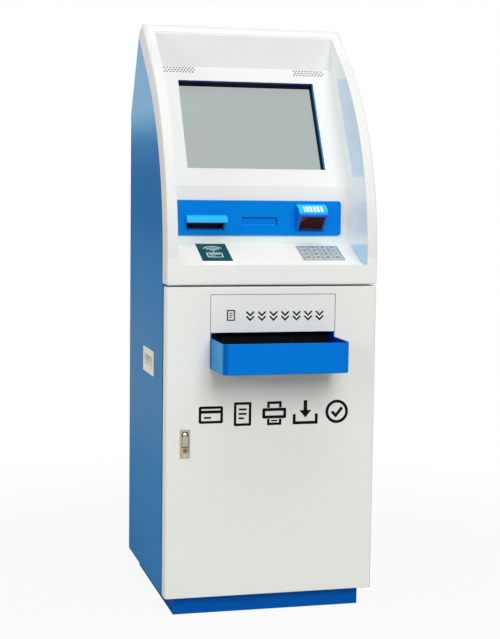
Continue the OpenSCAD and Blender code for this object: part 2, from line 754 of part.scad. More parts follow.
module key_plug() color([0.75, 0.6, 0.35]) put() {
  difference() {
    translate([lock_x, 22, key_cz]) rotate([90, 0, 0]) cylinder(r = plug_r, h = 28);
    box([lock_x - 0.8, -8, key_cz - 4], [lock_x + 0.8, -2, key_cz + 4]);
  }
  box([lock_x - 3, 22, key_cz - 3], [lock_x + 3, cam_y + cam_t + 3, key_cz + 3]);
}

module lock_cam() color([0.65, 0.66, 0.67]) put() difference() {
  box([lock_x - 8, cam_y, key_cz - 8], [lock_x + 8, cam_y + cam_t, key_cz + cam_l]);
  box([lock_x - 3, cam_y - 1, key_cz - 3], [lock_x + 3, cam_y + cam_t + 1, key_cz + 3]);
}

plinth();
base_pan();
left_side_panel();
right_side_panel();
left_pull_handle();
right_pull_handle();
rear_panel();
door_jamb();
front_frame();
header_panel();
left_cheek();
right_cheek();
screen_panel();
fascia_panel();
shelf_panel();
control_strip();
receipt_hood();
slot_cover();
scanner_hood();
scanner_window();
touch_frame();
screen_glass();
lcd_module();
keypad_base();
card_reader();
reader_label();
receipt_printer();
left_speaker();
right_speaker();
printer_shelf();
report_printer();
paper_chute();
computer();
power_inlet();
jamb_hinges();
paper_door();
outlet_plate();
outlet_tray();
lock_plate();
door_hinges();
lock_handle();
key_plug();
lock_cam();
key_1();
key_2();
key_3();
key_cancel();
key_4();
key_5();
key_6();
key_clear();
key_7();
key_8();
key_9();
key_blank();
key_star();
key_0();
key_hash();
key_enter();
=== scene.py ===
import json
import math

import bmesh
import bpy
from mathutils import Matrix, Vector


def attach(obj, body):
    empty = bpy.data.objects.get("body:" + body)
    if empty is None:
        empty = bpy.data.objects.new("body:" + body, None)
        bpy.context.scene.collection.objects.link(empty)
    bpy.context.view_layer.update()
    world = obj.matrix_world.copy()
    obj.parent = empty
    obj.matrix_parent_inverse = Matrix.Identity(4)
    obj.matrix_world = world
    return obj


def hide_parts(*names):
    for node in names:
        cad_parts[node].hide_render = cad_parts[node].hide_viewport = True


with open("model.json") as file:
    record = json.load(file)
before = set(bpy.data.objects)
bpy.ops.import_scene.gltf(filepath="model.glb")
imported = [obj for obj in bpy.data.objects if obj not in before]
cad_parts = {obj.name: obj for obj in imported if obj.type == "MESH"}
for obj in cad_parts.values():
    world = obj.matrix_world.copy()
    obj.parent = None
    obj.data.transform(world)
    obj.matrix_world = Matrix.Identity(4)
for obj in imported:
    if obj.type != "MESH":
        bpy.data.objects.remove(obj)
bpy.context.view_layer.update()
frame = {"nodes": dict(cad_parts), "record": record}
scene = bpy.context.scene
print("frame loaded:", len(frame["nodes"]), "nodes")

# the door's face in the shared frame, the slopes of the screen panel and the shelf, and the panel's ways
doorFace = -0.2075
lean, slope = math.radians(29.5), math.radians(22)
panelFoot = Vector((0, doorFace + 0.163, 1.114))
panelUp = Vector((0, math.sin(lean), math.cos(lean)))
panelIn = Vector((0, math.cos(lean), -math.sin(lean)))


class Wire:
    # a socket that takes part in Python expressions

    def __init__(self, tree, socket=None):
        self.tree = tree
        self.socket = socket

    def node(self, kind, settings=None, sockets=None, out=0):
        made = self.tree.nodes.new(kind)
        for key, value in (settings or {}).items():
            setattr(made, key, value)
        for key, value in (sockets or {}).items():
            if isinstance(value, Wire):
                self.tree.links.new(value.socket, made.inputs[key])
            else:
                made.inputs[key].default_value = value
        return Wire(self.tree, made.outputs[out] if made.outputs else None)

    def reckon(self, operation, first, second=0.0):
        return self.node("ShaderNodeMath", {"operation": operation}, {0: first, 1: second})

    def __add__(self, other):
        return self.reckon("ADD", self, other)

    def __radd__(self, other):
        return self.reckon("ADD", other, self)

    def __sub__(self, other):
        return self.reckon("SUBTRACT", self, other)

    def __rsub__(self, other):
        return self.reckon("SUBTRACT", other, self)

    def __mul__(self, other):
        return self.reckon("MULTIPLY", self, other)

    def __rmul__(self, other):
        return self.reckon("MULTIPLY", other, self)

    def __abs__(self):
        return self.reckon("ABSOLUTE", self)


def srgb(red, green, blue):
    channel = lambda v: v / 12.92 if v <= 0.04045 else ((v + 0.055) / 1.055) ** 2.4
    return (channel(red / 255), channel(green / 255), channel(blue / 255), 1.0)


def shaded(colour, amount):
    return tuple(max(0.0, min(1.0, c * amount)) for c in colour[:3]) + (1.0,)


def startMaterial(name):
    material = bpy.data.materials.new(name)
    material.use_nodes = True
    material.node_tree.nodes.clear()
    wire = Wire(material.node_tree)
    place = wire.node("ShaderNodeTexCoord", out="Object")
    return material, wire, place


def endMaterial(wire, sockets):
    surface = wire.node("ShaderNodeBsdfPrincipled", {}, sockets)
    wire.node("ShaderNodeOutputMaterial", {}, {"Surface": surface})


def noise(wire, place, scale, detail=3.0, stretch=(1, 1, 1), roughness=0.5):
    moved = wire.node("ShaderNodeVectorMath", {"operation": "MULTIPLY"}, {0: place, 1: stretch})
    sockets = {"Vector": moved, "Scale": scale, "Detail": detail, "Roughness": roughness}
    return wire.node("ShaderNodeTexNoise", {}, sockets, out="Fac")


def blend(wire, factor, first, second):
    return wire.node("ShaderNodeMix", {"data_type": "RGBA"}, {0: factor, 6: first, 7: second}, out=2)


def drifting(wire, factor, colour, amount):
    # a colour that wanders by a share of itself
    return blend(wire, factor, shaded(colour, 1 - amount), shaded(colour, 1 + amount))


def tinted(wire, place, tone, tints):
    for mask, tint in tints:
        tone = blend(wire, mask(wire, place), tone, tint)
    return tone


def smoothRange(wire, value, low, high, outLow=0.0, outHigh=1.0):
    sockets = {"Value": value, "From Min": low, "From Max": high, "To Min": outLow, "To Max": outHigh}
    return wire.node("ShaderNodeMapRange", {"interpolation_type": "SMOOTHSTEP"}, sockets)


def bumpOf(wire, height, strength, depth):
    return wire.node("ShaderNodeBump", {}, {"Strength": strength, "Distance": depth, "Height": height})


def axisOf(wire, vector, axis):
    return wire.node("ShaderNodeSeparateXYZ", {}, {0: vector}, out=axis)


def facing(wire, axis):
    # how far the surface looks along an axis, in the piece's own space
    return axisOf(wire, wire.node("ShaderNodeTexCoord", out="Normal"), axis)


def edgeMask(wire, radius):
    # bright along edges, where the rounded normal leaves the true one
    soft = wire.node("ShaderNodeBevel", {"samples": 4}, {"Radius": radius})
    true = wire.node("ShaderNodeNewGeometry", out="Normal")
    same = wire.node("ShaderNodeVectorMath", {"operation": "DOT_PRODUCT"}, {0: soft, 1: true}, out="Value")
    return smoothRange(wire, 1 - same, 0.01, 0.2)


# what each kind of finish is like, where a finish doesn't say otherwise
sprayed = {"drift": 0.03, "driftScale": 2.2, "roughDrift": 0.1, "speck": 0.05, "speckScale": 420.0,
           "speckRange": (0.62, 0.8), "speckShade": 0.55, "peel": 0.06, "peelScale": 520.0,
           "peelDepth": 0.0004, "edge": 0.0012, "wear": 0.12, "wearScale": 60.0, "wearRange": (0.45, 0.7),
           "wearShade": 1.35, "wearRough": 0.1, "specular": 0.5, "coat": 0.0, "coatRough": 0.1, "tints": []}
moulded = {"drift": 0.05, "flowScale": 9.0, "flowStretch": (1, 1, 2.5), "roughDrift": 0.12, "grain": 0.1,
           "grainScale": 900.0, "grainDepth": 0.0003, "noiseShare": 0.6, "cellShare": 0.5, "edge": 0.0009,
           "wear": 0.15, "wearShade": 1.5, "glowDrift": 0.03, "specular": 0.5, "coat": 0.0,
           "coatRough": 0.05, "tints": []}
drawn = {"along": (0.03, 1, 1), "streakScale": 700.0, "streakDark": 0.86, "streakPale": 1.1,
         "streakRough": 0.2, "cloud": 0.35, "cloudScale": 35.0, "cloudRange": (0.4, 0.75),
         "cloudShade": 0.72, "cloudRough": 0.15, "grain": 0.12, "grainDepth": 0.0002, "edge": 0.0008,
         "wear": 0.5, "wearShade": 1.35, "metal": 1.0}


def paint(name, own):
    # sprayed coat: broad tone drift, fine specks, orange peel, rubbed edges
    look = {**sprayed, **own}
    material, wire, place = startMaterial(name)
    colour = look["colour"]
    drift = noise(wire, place, look["driftScale"], 2.0)
    speck = noise(wire, place, look["speckScale"], 2.0)
    specks = smoothRange(wire, speck, *look["speckRange"], 0.0, look["speck"])
    tone = drifting(wire, drift, colour, look["drift"])
    tone = blend(wire, specks, tone, shaded(colour, look["speckShade"]))
    tone = tinted(wire, place, tone, look["tints"])
    rubbed = smoothRange(wire, noise(wire, place, look["wearScale"]), *look["wearRange"])
    worn = edgeMask(wire, look["edge"]) * rubbed
    tone = blend(wire, worn * look["wear"], tone, shaded(colour, look["wearShade"]))
    peel = noise(wire, place, look["peelScale"], 2.0)
    rough = look["rough"] + (drift - 0.5) * look["roughDrift"] + worn * look["wearRough"]
    endMaterial(wire, {"Base Color": tone, "Normal": bumpOf(wire, peel, look["peel"], look["peelDepth"]),
                       "Roughness": rough, "Specular IOR Level": look["specular"],
                       "Coat Weight": look["polish"](wire, place) if "polish" in look else look["coat"],
                       "Coat Roughness": look["coatRough"]})
    return material


def plastic(name, own):
    # moulded plastic: fine spark grain, a faint flow, paler on its corners
    look = {**moulded, **own}
    material, wire, place = startMaterial(name)
    colour = look["colour"]
    flow = noise(wire, place, look["flowScale"], 3.0, look["flowStretch"])
    tone = drifting(wire, flow, colour, look["drift"])
    tone = tinted(wire, place, tone, look["tints"])
    tone = blend(wire, edgeMask(wire, look["edge"]) * look["wear"], tone, shaded(colour, look["wearShade"]))
    cells = wire.node("ShaderNodeTexVoronoi", {}, {"Vector": place, "Scale": look["grainScale"]},
                      out="Distance")
    grain = noise(wire, place, look["grainScale"], 2.0) * look["noiseShare"] + cells * look["cellShare"]
    sockets = {"Base Color": tone, "Normal": bumpOf(wire, grain, look["grain"], look["grainDepth"]),
               "Roughness": look["rough"] + (flow - 0.5) * look["roughDrift"],
               "Specular IOR Level": look["specular"],
               "Coat Weight": look["coat"], "Coat Roughness": look["coatRough"]}
    if "glow" in look:
        sockets["Emission Color"] = drifting(wire, flow, look["glow"], look["glowDrift"])
        sockets["Emission Strength"] = 1.0
    endMaterial(wire, sockets)
    return material


def brushed(name, own):
    # bare metal drawn along one way, with dull streaks and bright edges
    look = {**drawn, **own}
    material, wire, place = startMaterial(name)
    colour = look["colour"]
    streak = noise(wire, place, look["streakScale"], 3.0, look["along"])
    cloud = noise(wire, place, look["cloudScale"], 3.0)
    tone = blend(wire, streak, shaded(colour, look["streakDark"]), shaded(colour, look["streakPale"]))
    clouds = smoothRange(wire, cloud, *look["cloudRange"], 0.0, look["cloud"])
    tone = blend(wire, clouds, tone, shaded(colour, look["cloudShade"]))
    tone = blend(wire, edgeMask(wire, look["edge"]) * look["wear"], tone, shaded(colour, look["wearShade"]))
    rough = look["rough"] + (streak - 0.5) * look["streakRough"] + (cloud - 0.5) * look["cloudRough"]
    endMaterial(wire, {"Base Color": tone, "Metallic": look["metal"], "Roughness": rough,
                       "Normal": bumpOf(wire, streak, look["grain"], look["grainDepth"])})
    return material


# where each tint begins and where it is full: metres of the shared frame, or how far a face looks one way
tintReach = {
    "hoodTopPaintedLight": (0.3, 0.7), "side": (0.8, 0.95), "down": (-0.6, -0.9),
    "trayOuter": (0.132, 0.156), "trayInner": (-0.08, -0.15), "trayTurned": (0.05, 0.6),
    "trayStraight": (0.95, 0.8), "trayLeft": (0.02, -0.02),
    "trayFront": (doorFace - 0.02, doorFace - 0.12), "trayBack": (doorFace - 0.017, doorFace - 0.012),
    "upperPolish": (1.220, 1.335), "upperPaintedSheen": (1.198, 1.328),
    "deepFoot": (0.84, 1.06), "deepTop": (1.23, 1.13), "paleFoot": (0.30, 0.54), "paleTop": (0.88, 0.68),
    "frameCrownPaintedLight": (1.45, 1.54), "frameSideTopPaintedSheen": (1.12, 1.40), "frameSillPaintedLight": (0.945, 0.925),
    "cupDepth": (0.2795, 0.262), "cupLip": (0.636, 0.660), "cupFloorPaintedLight": (0.640, 0.624),
    "recessRim": (0.0078, 0.0070), "recessRimSidePaintedLight": (0.0104, 0.0096),
    "fasciaFootPaintedReflection": (0.990, 0.980), "mouthFoot": (1.0085, 1.0045),
    "reflectionAhead": (0.042, 0.050), "reflectionFoot": (1.137, 1.150), "reflectionTop": (1.415, 1.404),
    "cheekFootPaintedReflection": (0.9635, 0.9545),
    "glowLeft": (0.124, 0.114), "glowFoot": (1.016, 1.026), "blots": (0.48, 0.72),
}


def reach(wire, value, key, full=1.0):
    return smoothRange(wire, value, *tintReach[key], 0.0, full)


def byHeight(key, full=1.0):
    # a mask that follows the height alone
    return lambda wire, place: reach(wire, axisOf(wire, place, "Z"), key, full)


# painted sheen: the sides turn paler blue towards the top
upperPaintedSheen = byHeight("upperPaintedSheen", 0.85)
# painted light: the frame is paler at its crown and at its sill
frameCrownPaintedLight = byHeight("frameCrownPaintedLight")
frameSillPaintedLight = byHeight("frameSillPaintedLight")
# painted light on the floor of the finger cups
cupFloorPaintedLight = byHeight("cupFloorPaintedLight")
# painted reflection: the fascia turns bluish towards its foot
fasciaFootPaintedReflection = byHeight("fasciaFootPaintedReflection", 0.8)
mouthFoot = byHeight("mouthFoot")


# painted light: paler on faces that look up
def hoodTopPaintedLight(wire, place):
    return reach(wire, facing(wire, "Z"), "hoodTopPaintedLight")


def facingSide(wire, place):
    return reach(wire, abs(facing(wire, "X")), "side")


def facingDown(wire, place):
    return reach(wire, facing(wire, "Z"), "down")


def fromMiddle(wire, place):
    # above nothing on the tray's outer sides, below nothing on the inner ones
    return facing(wire, "X") * axisOf(wire, place, "X")


def trayOuter(wire, place):
    return reach(wire, fromMiddle(wire, place), "trayOuter")


def trayOuterFront(wire, place):
    return trayOuter(wire, place) * reach(wire, axisOf(wire, place, "Y"), "trayFront")


def trayOuterBack(wire, place):
    return trayOuter(wire, place) * reach(wire, axisOf(wire, place, "Y"), "trayBack")


def trayInner(wire, place):
    return reach(wire, fromMiddle(wire, place), "trayInner")


def trayCorner(wire, place):
    # the left upright bend, between the front and the side, where shade is painted
    turned = abs(facing(wire, "X"))
    bend = reach(wire, turned, "trayTurned") * reach(wire, turned, "trayStraight")
    return bend * reach(wire, axisOf(wire, place, "X"), "trayLeft")


sheen = {"scale": 34.0, "stretch": (1, 1, 0.1), "least": 0.42, "streaks": 0.3}


def upperPolish(wire, place):
    # the upper sides shine more, in faint upright streaks
    streak = noise(wire, place, sheen["scale"], 3.0, sheen["stretch"])
    upper = reach(wire, axisOf(wire, place, "Z"), "upperPolish")
    return upper * (sheen["least"] + streak * sheen["streaks"])


def sideDeep(wire, place):
    # the sides are deepest in tone beside the alcove and palest beside the tray
    z = axisOf(wire, place, "Z")
    return reach(wire, z, "deepFoot") * reach(wire, z, "deepTop")


def sidePale(wire, place):
    z = axisOf(wire, place, "Z")
    return reach(wire, z, "paleFoot") * reach(wire, z, "paleTop")


# painted sheen: the frame's faces that look sideways turn paler towards the top
def frameSideTopPaintedSheen(wire, place):
    return facingSide(wire, place) * reach(wire, axisOf(wire, place, "Z"), "frameSideTopPaintedSheen")


cupPaintedShading = {"middle": doorFace + 0.247, "lipSlope": 0.06, "depth": 0.9}


def cupPaintedShade(wire, place):
    # painted shade: the finger cup darkens deep inside, under its sloping top lip
    x, y, z = (axisOf(wire, place, axis) for axis in "XYZ")
    lip = reach(wire, z - (y - cupPaintedShading["middle"]) * cupPaintedShading["lipSlope"], "cupLip")
    return reach(wire, abs(x), "cupDepth") * lip * cupPaintedShading["depth"]


def recessDepth(wire, place):
    # how far behind the face of the screen panel
    y, z = axisOf(wire, place, "Y"), axisOf(wire, place, "Z")
    return (y - panelFoot.y) * panelIn.y + (z - panelFoot.z) * panelIn.z


def recessRim(wire, place):
    return reach(wire, recessDepth(wire, place), "recessRim")


# painted light: the rim is paler where it looks sideways
def recessRimSidePaintedLight(wire, place):
    return reach(wire, recessDepth(wire, place), "recessRimSidePaintedLight") * facingSide(wire, place)


reflectionShape = {"slope": 0.6, "footRise": 0.056}


def cheekPaintedReflection(wire, place):
    # a painted reflection beside the screen: pale blue, in front of the leaning panel, between two heights
    y, z = axisOf(wire, place, "Y"), axisOf(wire, place, "Z")
    ahead = (z - panelFoot.z) * reflectionShape["slope"] + panelFoot.y - y
    return reach(wire, ahead, "reflectionAhead") * reach(wire, z, "reflectionFoot") * reach(wire, z, "reflectionTop")


def cheekFootPaintedReflection(wire, place):
    # a painted blue reflection along the foot of a cheek, whose top rises a little towards the front
    y, z = axisOf(wire, place, "Y"), axisOf(wire, place, "Z")
    return reach(wire, z + (y - panelFoot.y) * reflectionShape["footRise"], "cheekFootPaintedReflection")


windowLight = {"height": 1.03, "slant": 1.2, "blotScale": 130.0, "blotRough": 0.65}


# painted glow: a paler red patch on the window's upper left
def windowPaintedGlow(wire, place):
    x, z = axisOf(wire, place, "X"), axisOf(wire, place, "Z")
    across = x - (z - windowLight["height"]) * windowLight["slant"]
    return reach(wire, across, "glowLeft") * reach(wire, z, "glowFoot")


def windowBlots(wire, place):
    # what shows dimly through the red window
    blots = noise(wire, place, windowLight["blotScale"], 3.0, (1, 1, 1), windowLight["blotRough"])
    return reach(wire, blots, "blots")


# finishes, by the record's slot
finishes = {
    "plinth_blue": paint("plinthPaint", {"colour": srgb(0, 87, 172), "rough": 0.5, "specular": 0.05}),
    "cabinet_blue": paint("cabinetPaint", {
        "colour": srgb(51, 135, 197), "rough": 0.6, "specular": 0.06, "peelScale": 380.0, "peel": 0.1,
        "speck": 0.1, "polish": upperPolish, "coatRough": 0.32,
        # the palest blue, towards the top, is a painted sheen
        "tints": [(sideDeep, srgb(0, 115, 185)), (sidePale, srgb(78, 143, 197)),
                  (upperPaintedSheen, srgb(90, 186, 238))]}),
    "handle_white": plastic("handlePlastic", {
        "colour": srgb(247, 243, 228), "rough": 0.45,
        # painted shade deep in the finger cups and painted light on their floors
        "tints": [(cupPaintedShade, srgb(92, 84, 68)), (cupFloorPaintedLight, srgb(251, 249, 236))]}),
    "frame_white": paint("framePaint", {
        "colour": srgb(218, 219, 216), "rough": 0.5, "wear": 0.05, "specular": 0.2,
        # paler at the crown and the sill, paler and warmer on faces that look sideways, palest on their upper
        # part: painted light
        "tints": [(frameCrownPaintedLight, srgb(235, 236, 234)), (frameSillPaintedLight, srgb(228, 229, 225)),
                  (facingSide, srgb(243, 237, 224)), (frameSideTopPaintedSheen, srgb(255, 254, 252))]}),
    "panel_white": paint("alcovePaint", {
        "colour": srgb(217, 218, 216), "rough": 0.5, "wear": 0.03, "specular": 0.15}),
    "strip_blue": plastic("stripPlastic", {
        "colour": srgb(0, 120, 210), "rough": 0.38, "wear": 0.1, "specular": 0.03}),
    "hood_blue": plastic("hoodPlastic", {
        "colour": srgb(0, 106, 208), "rough": 0.35, "wear": 0.1, "specular": 0.12,
        # paler blue on top: painted light
        "tints": [(hoodTopPaintedLight, srgb(28, 180, 246))]}),
    "window_red": plastic("windowAcrylic", {
        "colour": srgb(34, 5, 8), "rough": 0.16, "grain": 0.01, "wear": 0.0, "specular": 0.12,
        "tints": [(windowBlots, srgb(92, 14, 16)), (windowPaintedGlow, srgb(176, 20, 22))]}),
    "touch_black": plastic("touchPlastic", {
        "colour": srgb(6, 8, 12), "rough": 0.5, "specular": 0.05,
        # a blue band round the front of the recess, paler where it looks sideways: painted light
        "tints": [(recessRim, srgb(0, 80, 164)), (recessRimSidePaintedLight, srgb(0, 158, 252))]}),
    "screen_grey": plastic("screenGlass", {
        "colour": srgb(20, 22, 22), "rough": 0.22, "grain": 0.01, "drift": 0.02, "wear": 0.0,
        "specular": 0.06, "glow": srgb(172, 182, 181)}),
    "module_grey": plastic("modulePlastic", {"colour": srgb(90, 92, 95), "rough": 0.5}),
    "keypad_steel": brushed("keypadSteel", {"colour": srgb(175, 183, 183), "rough": 0.5, "metal": 0.3}),
    "key_steel": brushed("keySteel", {"colour": srgb(190, 196, 196), "rough": 0.45, "metal": 0.3}),
    "label_teal": plastic("labelFilm", {
        "colour": srgb(8, 74, 77), "rough": 0.4, "grain": 0.03, "specular": 0.1}),
    "module_black": plastic("moduleBlack", {"colour": srgb(10, 12, 15), "rough": 0.6, "specular": 0.08}),
    "galvanised": brushed("galvanisedSheet", {
        "colour": srgb(168, 172, 174), "rough": 0.5, "along": (1, 1, 0.1)}),
    "printer_beige": plastic("printerPlastic", {"colour": srgb(206, 205, 198), "rough": 0.5}),
    "computer_black": paint("computerPaint", {"colour": srgb(34, 34, 37), "rough": 0.5}),
    "hinge_steel": brushed("hingeSteel", {
        "colour": srgb(180, 182, 184), "rough": 0.35, "along": (1, 1, 0.05)}),
    "door_white": paint("doorPaint", {
        "colour": srgb(224, 225, 219), "rough": 0.45, "wear": 0.05,
        # paler, warmer on faces that look sideways: painted light
        "tints": [(facingSide, srgb(254, 247, 228))]}),
    "tray_blue": paint("trayPaint", {
        "colour": srgb(0, 114, 207), "rough": 0.42, "wear": 0.08, "specular": 0.04,
        # painted shade on the left bend, the inner sides and the underside, painted light on the outer sides,
        # palest towards the front; the outer sides turn darker next to the door
        "tints": [(trayCorner, srgb(0, 92, 178)), (trayOuter, srgb(30, 150, 216)),
                  (trayOuterFront, srgb(72, 162, 216)), (trayOuterBack, srgb(0, 84, 172)),
                  (trayInner, srgb(0, 44, 150)), (facingDown, srgb(0, 62, 112))]}),
    "lock_metal": brushed("lockMetal", {
        "colour": srgb(176, 168, 151), "rough": 0.42, "along": (1, 1, 0.05)}),
    "plug_brass": brushed("plugBrass", {"colour": srgb(134, 110, 84), "rough": 0.4}),
}

# finishes of single pieces
visorPlastic = plastic("visorPlastic", {
    "colour": srgb(30, 168, 240), "rough": 0.35, "wear": 0.05, "specular": 0.12,
    # paler on top: painted light
    "tints": [(hoodTopPaintedLight, srgb(34, 174, 242))]})
cheekPaint = paint("cheekPaint", {
    "colour": srgb(240, 247, 247), "rough": 0.3, "wear": 0.02, "coat": 0.3, "coatRough": 0.08,
    # painted reflections: pale blue beside the screen, bluer along the foot
    "tints": [(cheekPaintedReflection, srgb(201, 225, 246)), (cheekFootPaintedReflection, srgb(164, 217, 251))]})
headerPaint = paint("headerPaint", {
    "colour": srgb(215, 216, 215), "rough": 0.5, "wear": 0.03, "specular": 0.2})
fillPaintedLight = paint("fillPaintedLight", {
    "colour": srgb(250, 251, 250), "rough": 0.5, "wear": 0.02, "specular": 0.2})
fasciaPaint = paint("fasciaPaint", {
    "colour": srgb(226, 225, 221), "rough": 0.5, "wear": 0.03, "specular": 0.2,
    "tints": [(fasciaFootPaintedReflection, srgb(218, 230, 231))]})
shelfPaint = paint("shelfPaint", {
    "colour": srgb(230, 228, 220), "rough": 0.5, "wear": 0.03, "specular": 0.2})
stickerWhite = plastic("stickerWhite", {
    "colour": srgb(244, 245, 243), "rough": 0.4, "grain": 0.02, "drift": 0.01})
mouthPlastic = plastic("mouthPlastic", {
    "colour": srgb(5, 8, 16), "rough": 0.4, "specular": 0.15, "tints": [(mouthFoot, srgb(0, 72, 150))]})
gapGrey = plastic("gapGrey", {"colour": srgb(104, 104, 101), "rough": 0.7, "specular": 0.1})
# painted shade round the blank slot and a painted lit line along its foot
slotPaintedShade = plastic("slotPaintedShade", {"colour": srgb(0, 58, 124), "rough": 0.5, "specular": 0.05})
slotPaintedLight = plastic("slotPaintedLight", {"colour": srgb(22, 142, 232), "rough": 0.4, "specular": 0.1})
# painted highlight on the keypad's back and right edges
keypadPaintedHighlight = plastic("keypadHighlightStrip", {"colour": srgb(72, 176, 226), "rough": 0.4, "specular": 0.15})
sealBlack = plastic("sealBlack", {"colour": srgb(20, 7, 9), "rough": 0.45, "specular": 0.15})
wellBlack = plastic("wellBlack", {"colour": srgb(9, 9, 9), "rough": 0.7, "specular": 0.1})
lugChrome = brushed("lugChrome", {
    "colour": srgb(240, 239, 235), "rough": 0.22, "grain": 0.03, "along": (1, 1, 0.05)})
# a pale rivet standing in for a highlight on the lock plate's foot: painted highlight
rivetHighlightMetal = brushed("rivetHighlightMetal", {"colour": srgb(190, 187, 176), "rough": 0.4, "grain": 0.05})
# the screen's cut edge: navy where it looks up or down and bright blue where it looks sideways, painted shade
# and light
trimBlue = plastic("screenTrim", {
    "colour": srgb(0, 44, 92), "rough": 0.4, "specular": 0.1, "tints": [(facingSide, srgb(0, 158, 252))]})
signInk = plastic("signVinyl", {
    "colour": srgb(5, 5, 6), "rough": 0.55, "grainScale": 1600.0, "specular": 0.08})
signPale = plastic("signPale", {"colour": srgb(214, 232, 230), "rough": 0.45, "grainScale": 1600.0})
lampGreen = plastic("lampGreen", {"colour": srgb(60, 190, 96), "rough": 0.25, "grain": 0.02, "coat": 0.4})
statusPale = plastic("statusPale", {"colour": srgb(126, 142, 134), "rough": 0.2, "grain": 0.01})
keyInk = plastic("keyInk", {
    "colour": srgb(30, 34, 40), "rough": 0.5, "grainScale": 2400.0, "specular": 0.2})
print("finishes made:", len(bpy.data.materials))

smoothAngle = math.radians(35)  # sharper bends stay creased


def pieceFrom(name, bm, body, materials):
    mesh = bpy.data.meshes.new(name)
    bm.to_mesh(mesh)
    bm.free()
    for material in materials:
        mesh.materials.append(material)
    mesh.polygons.foreach_set("use_smooth", [True] * len(mesh.polygons))
    mesh.set_sharp_from_angle(angle=smoothAngle)
    mesh.update()
    piece = bpy.data.objects.new(name, mesh)
    scene.collection.objects.link(piece)
    weighted = piece.modifiers.new("evenNormals", "WEIGHTED_NORMAL")
    weighted.keep_sharp = True
    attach(piece, body)
    return piece


def roundEdges(piece, radius):
    # a bevel that comes before the even normals
    rounding = piece.modifiers.new("rounding", "BEVEL")
    rounding.width = radius
    rounding.segments = 3
    rounding.limit_method = "ANGLE"
    rounding.angle_limit = math.radians(40)
    piece.modifiers.move(1, 0)


nodeSlot = {part["node"]: part["material_slot"] for part in frame["record"]["subparts"]}
nodeBody = {node: body for body, nodes in frame["record"]["behaviour"]["bodies"].items() for node in nodes}

cleaning = {"weld": 5e-6, "flat": math.radians(0.4), "sliver": 2e-6, "bend": math.radians(30)}


def cleanCopy(node):
    # the node's own mesh, welded, with flat faces made whole again
    bm = bmesh.new()
    bm.from_mesh(frame["nodes"][node].data)
    bm.normal_update()
    bmesh.ops.remove_doubles(bm, verts=bm.verts[:], dist=cleaning["weld"])
    bmesh.ops.dissolve_limit(bm, angle_limit=cleaning["flat"], verts=bm.verts[:], edges=bm.edges[:])
    bm.normal_update()
    return bm


def soften(node, groups, materials=None, choose=None, reshape=None):
    # a copy of the node with its edges rounded; each group is (radius, segments, test of an edge)
    bm = cleanCopy(node)
    if reshape:
        reshape(bm)
    if choose:
        for face in bm.faces:
            face.material_index = choose(face)
    for radius, segments, wanted in groups:
        edges = [e for e in bm.edges if e.is_manifold and e.calc_face_angle(0) > cleaning["bend"]
                 and wanted((e.verts[0].co + e.verts[1].co) / 2, e)]
        if edges:
            bmesh.ops.bevel(bm, geom=edges, offset=radius, segments=segments, profile=0.5, affect="EDGES",
                            clamp_overlap=True)
            bmesh.ops.dissolve_degenerate(bm, dist=cleaning["sliver"], edges=bm.edges[:])
            bm.normal_update()
    slotName = nodeSlot[node]
    piece = pieceFrom(node + "_rounded", bm, nodeBody[node], materials or [finishes[slotName]])
    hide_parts(node)


everyEdge = lambda mid, edge: True
tiny = 1e-4  # how near an edge lies to the line it is looked for on

# every CAD node first takes its slot's finish
for node, obj in frame["nodes"].items():
    obj.data.materials.clear()
    obj.data.materials.append(finishes[nodeSlot[node]])

softEdges = {
    "plinth": 0.0012, "left_side_panel": 0.0007, "right_side_panel": 0.0007, "rear_panel": 0.0006,
    "header_panel": 0.0005, "fascia_panel": 0.0004, "shelf_panel": 0.0004, "control_strip": 0.0014,
    "slot_cover": 0.0003, "scanner_hood": 0.0014, "scanner_window": 0.0004,
    "touch_frame": 0.0004, "keypad_base": 0.0005, "outlet_plate": 0.0005, "lock_plate": 0.0005,
    "lock_handle": 0.0007, "key_plug": 0.0003, "left_pull_handle": 0.0009, "right_pull_handle": 0.0009,
    "printer_shelf": 0.0005, "report_printer": 0.003, "computer": 0.0006, "power_inlet": 0.0006,
}
ownFinish = {"header_panel": headerPaint, "fascia_panel": fasciaPaint, "shelf_panel": shelfPaint}

# the opening in the screen panel, along the panel from its foot
screenCut = {"half": 0.190, "low": 0.05, "high": 0.33, "top": 0.322, "front": 0.004, "near": 5e-4,
             "right": 0.003, "up": 0.0023, "flat": 0.3, "edge": 0.0003, "edgeHalf": 0.2, "edgeTop": 1.402}


def openScreen(bm):
    # the opening's right and top edges, a little further out
    for vert in bm.verts:
        place = vert.co - panelFoot
        along = place.dot(panelUp)
        past = abs(place.x) - screenCut["half"]
        if past > screenCut["near"] or not screenCut["low"] < along < screenCut["high"]:
            continue
        if place.x > 0 and past > -screenCut["near"] and place.dot(panelIn) < screenCut["front"]:
            vert.co.x += screenCut["right"]
        if along > screenCut["top"]:
            vert.co += panelUp * screenCut["up"]


for node, radius in softEdges.items():
    soften(node, [(radius, 2, everyEdge)], [ownFinish[node]] if node in ownFinish else None,
           reshape=openScreen if node == "touch_frame" else None)

keyEdge, cheekEdge = 0.0012, 0.0005
for node in [n for n in frame["nodes"] if n.startswith("key_") and n != "key_plug"]:
    soften(node, [(keyEdge, 3, everyEdge)])

receiptVisor = {"edge": 0.0012, "height": 0.84}


def raiseLip(bm):
    # the receipt hood's lip, a little higher over the mouth
    top = max(v.co.z for v in bm.verts)
    for vert in bm.verts:
        vert.co.z = top - (top - vert.co.z) * receiptVisor["height"]


soften("receipt_hood", [(receiptVisor["edge"], 2, everyEdge)], [visorPlastic], reshape=raiseLip)
for node in ("left_cheek", "right_cheek"):
    soften(node, [(cheekEdge, 2, everyEdge)], [cheekPaint])
print("edges rounded")

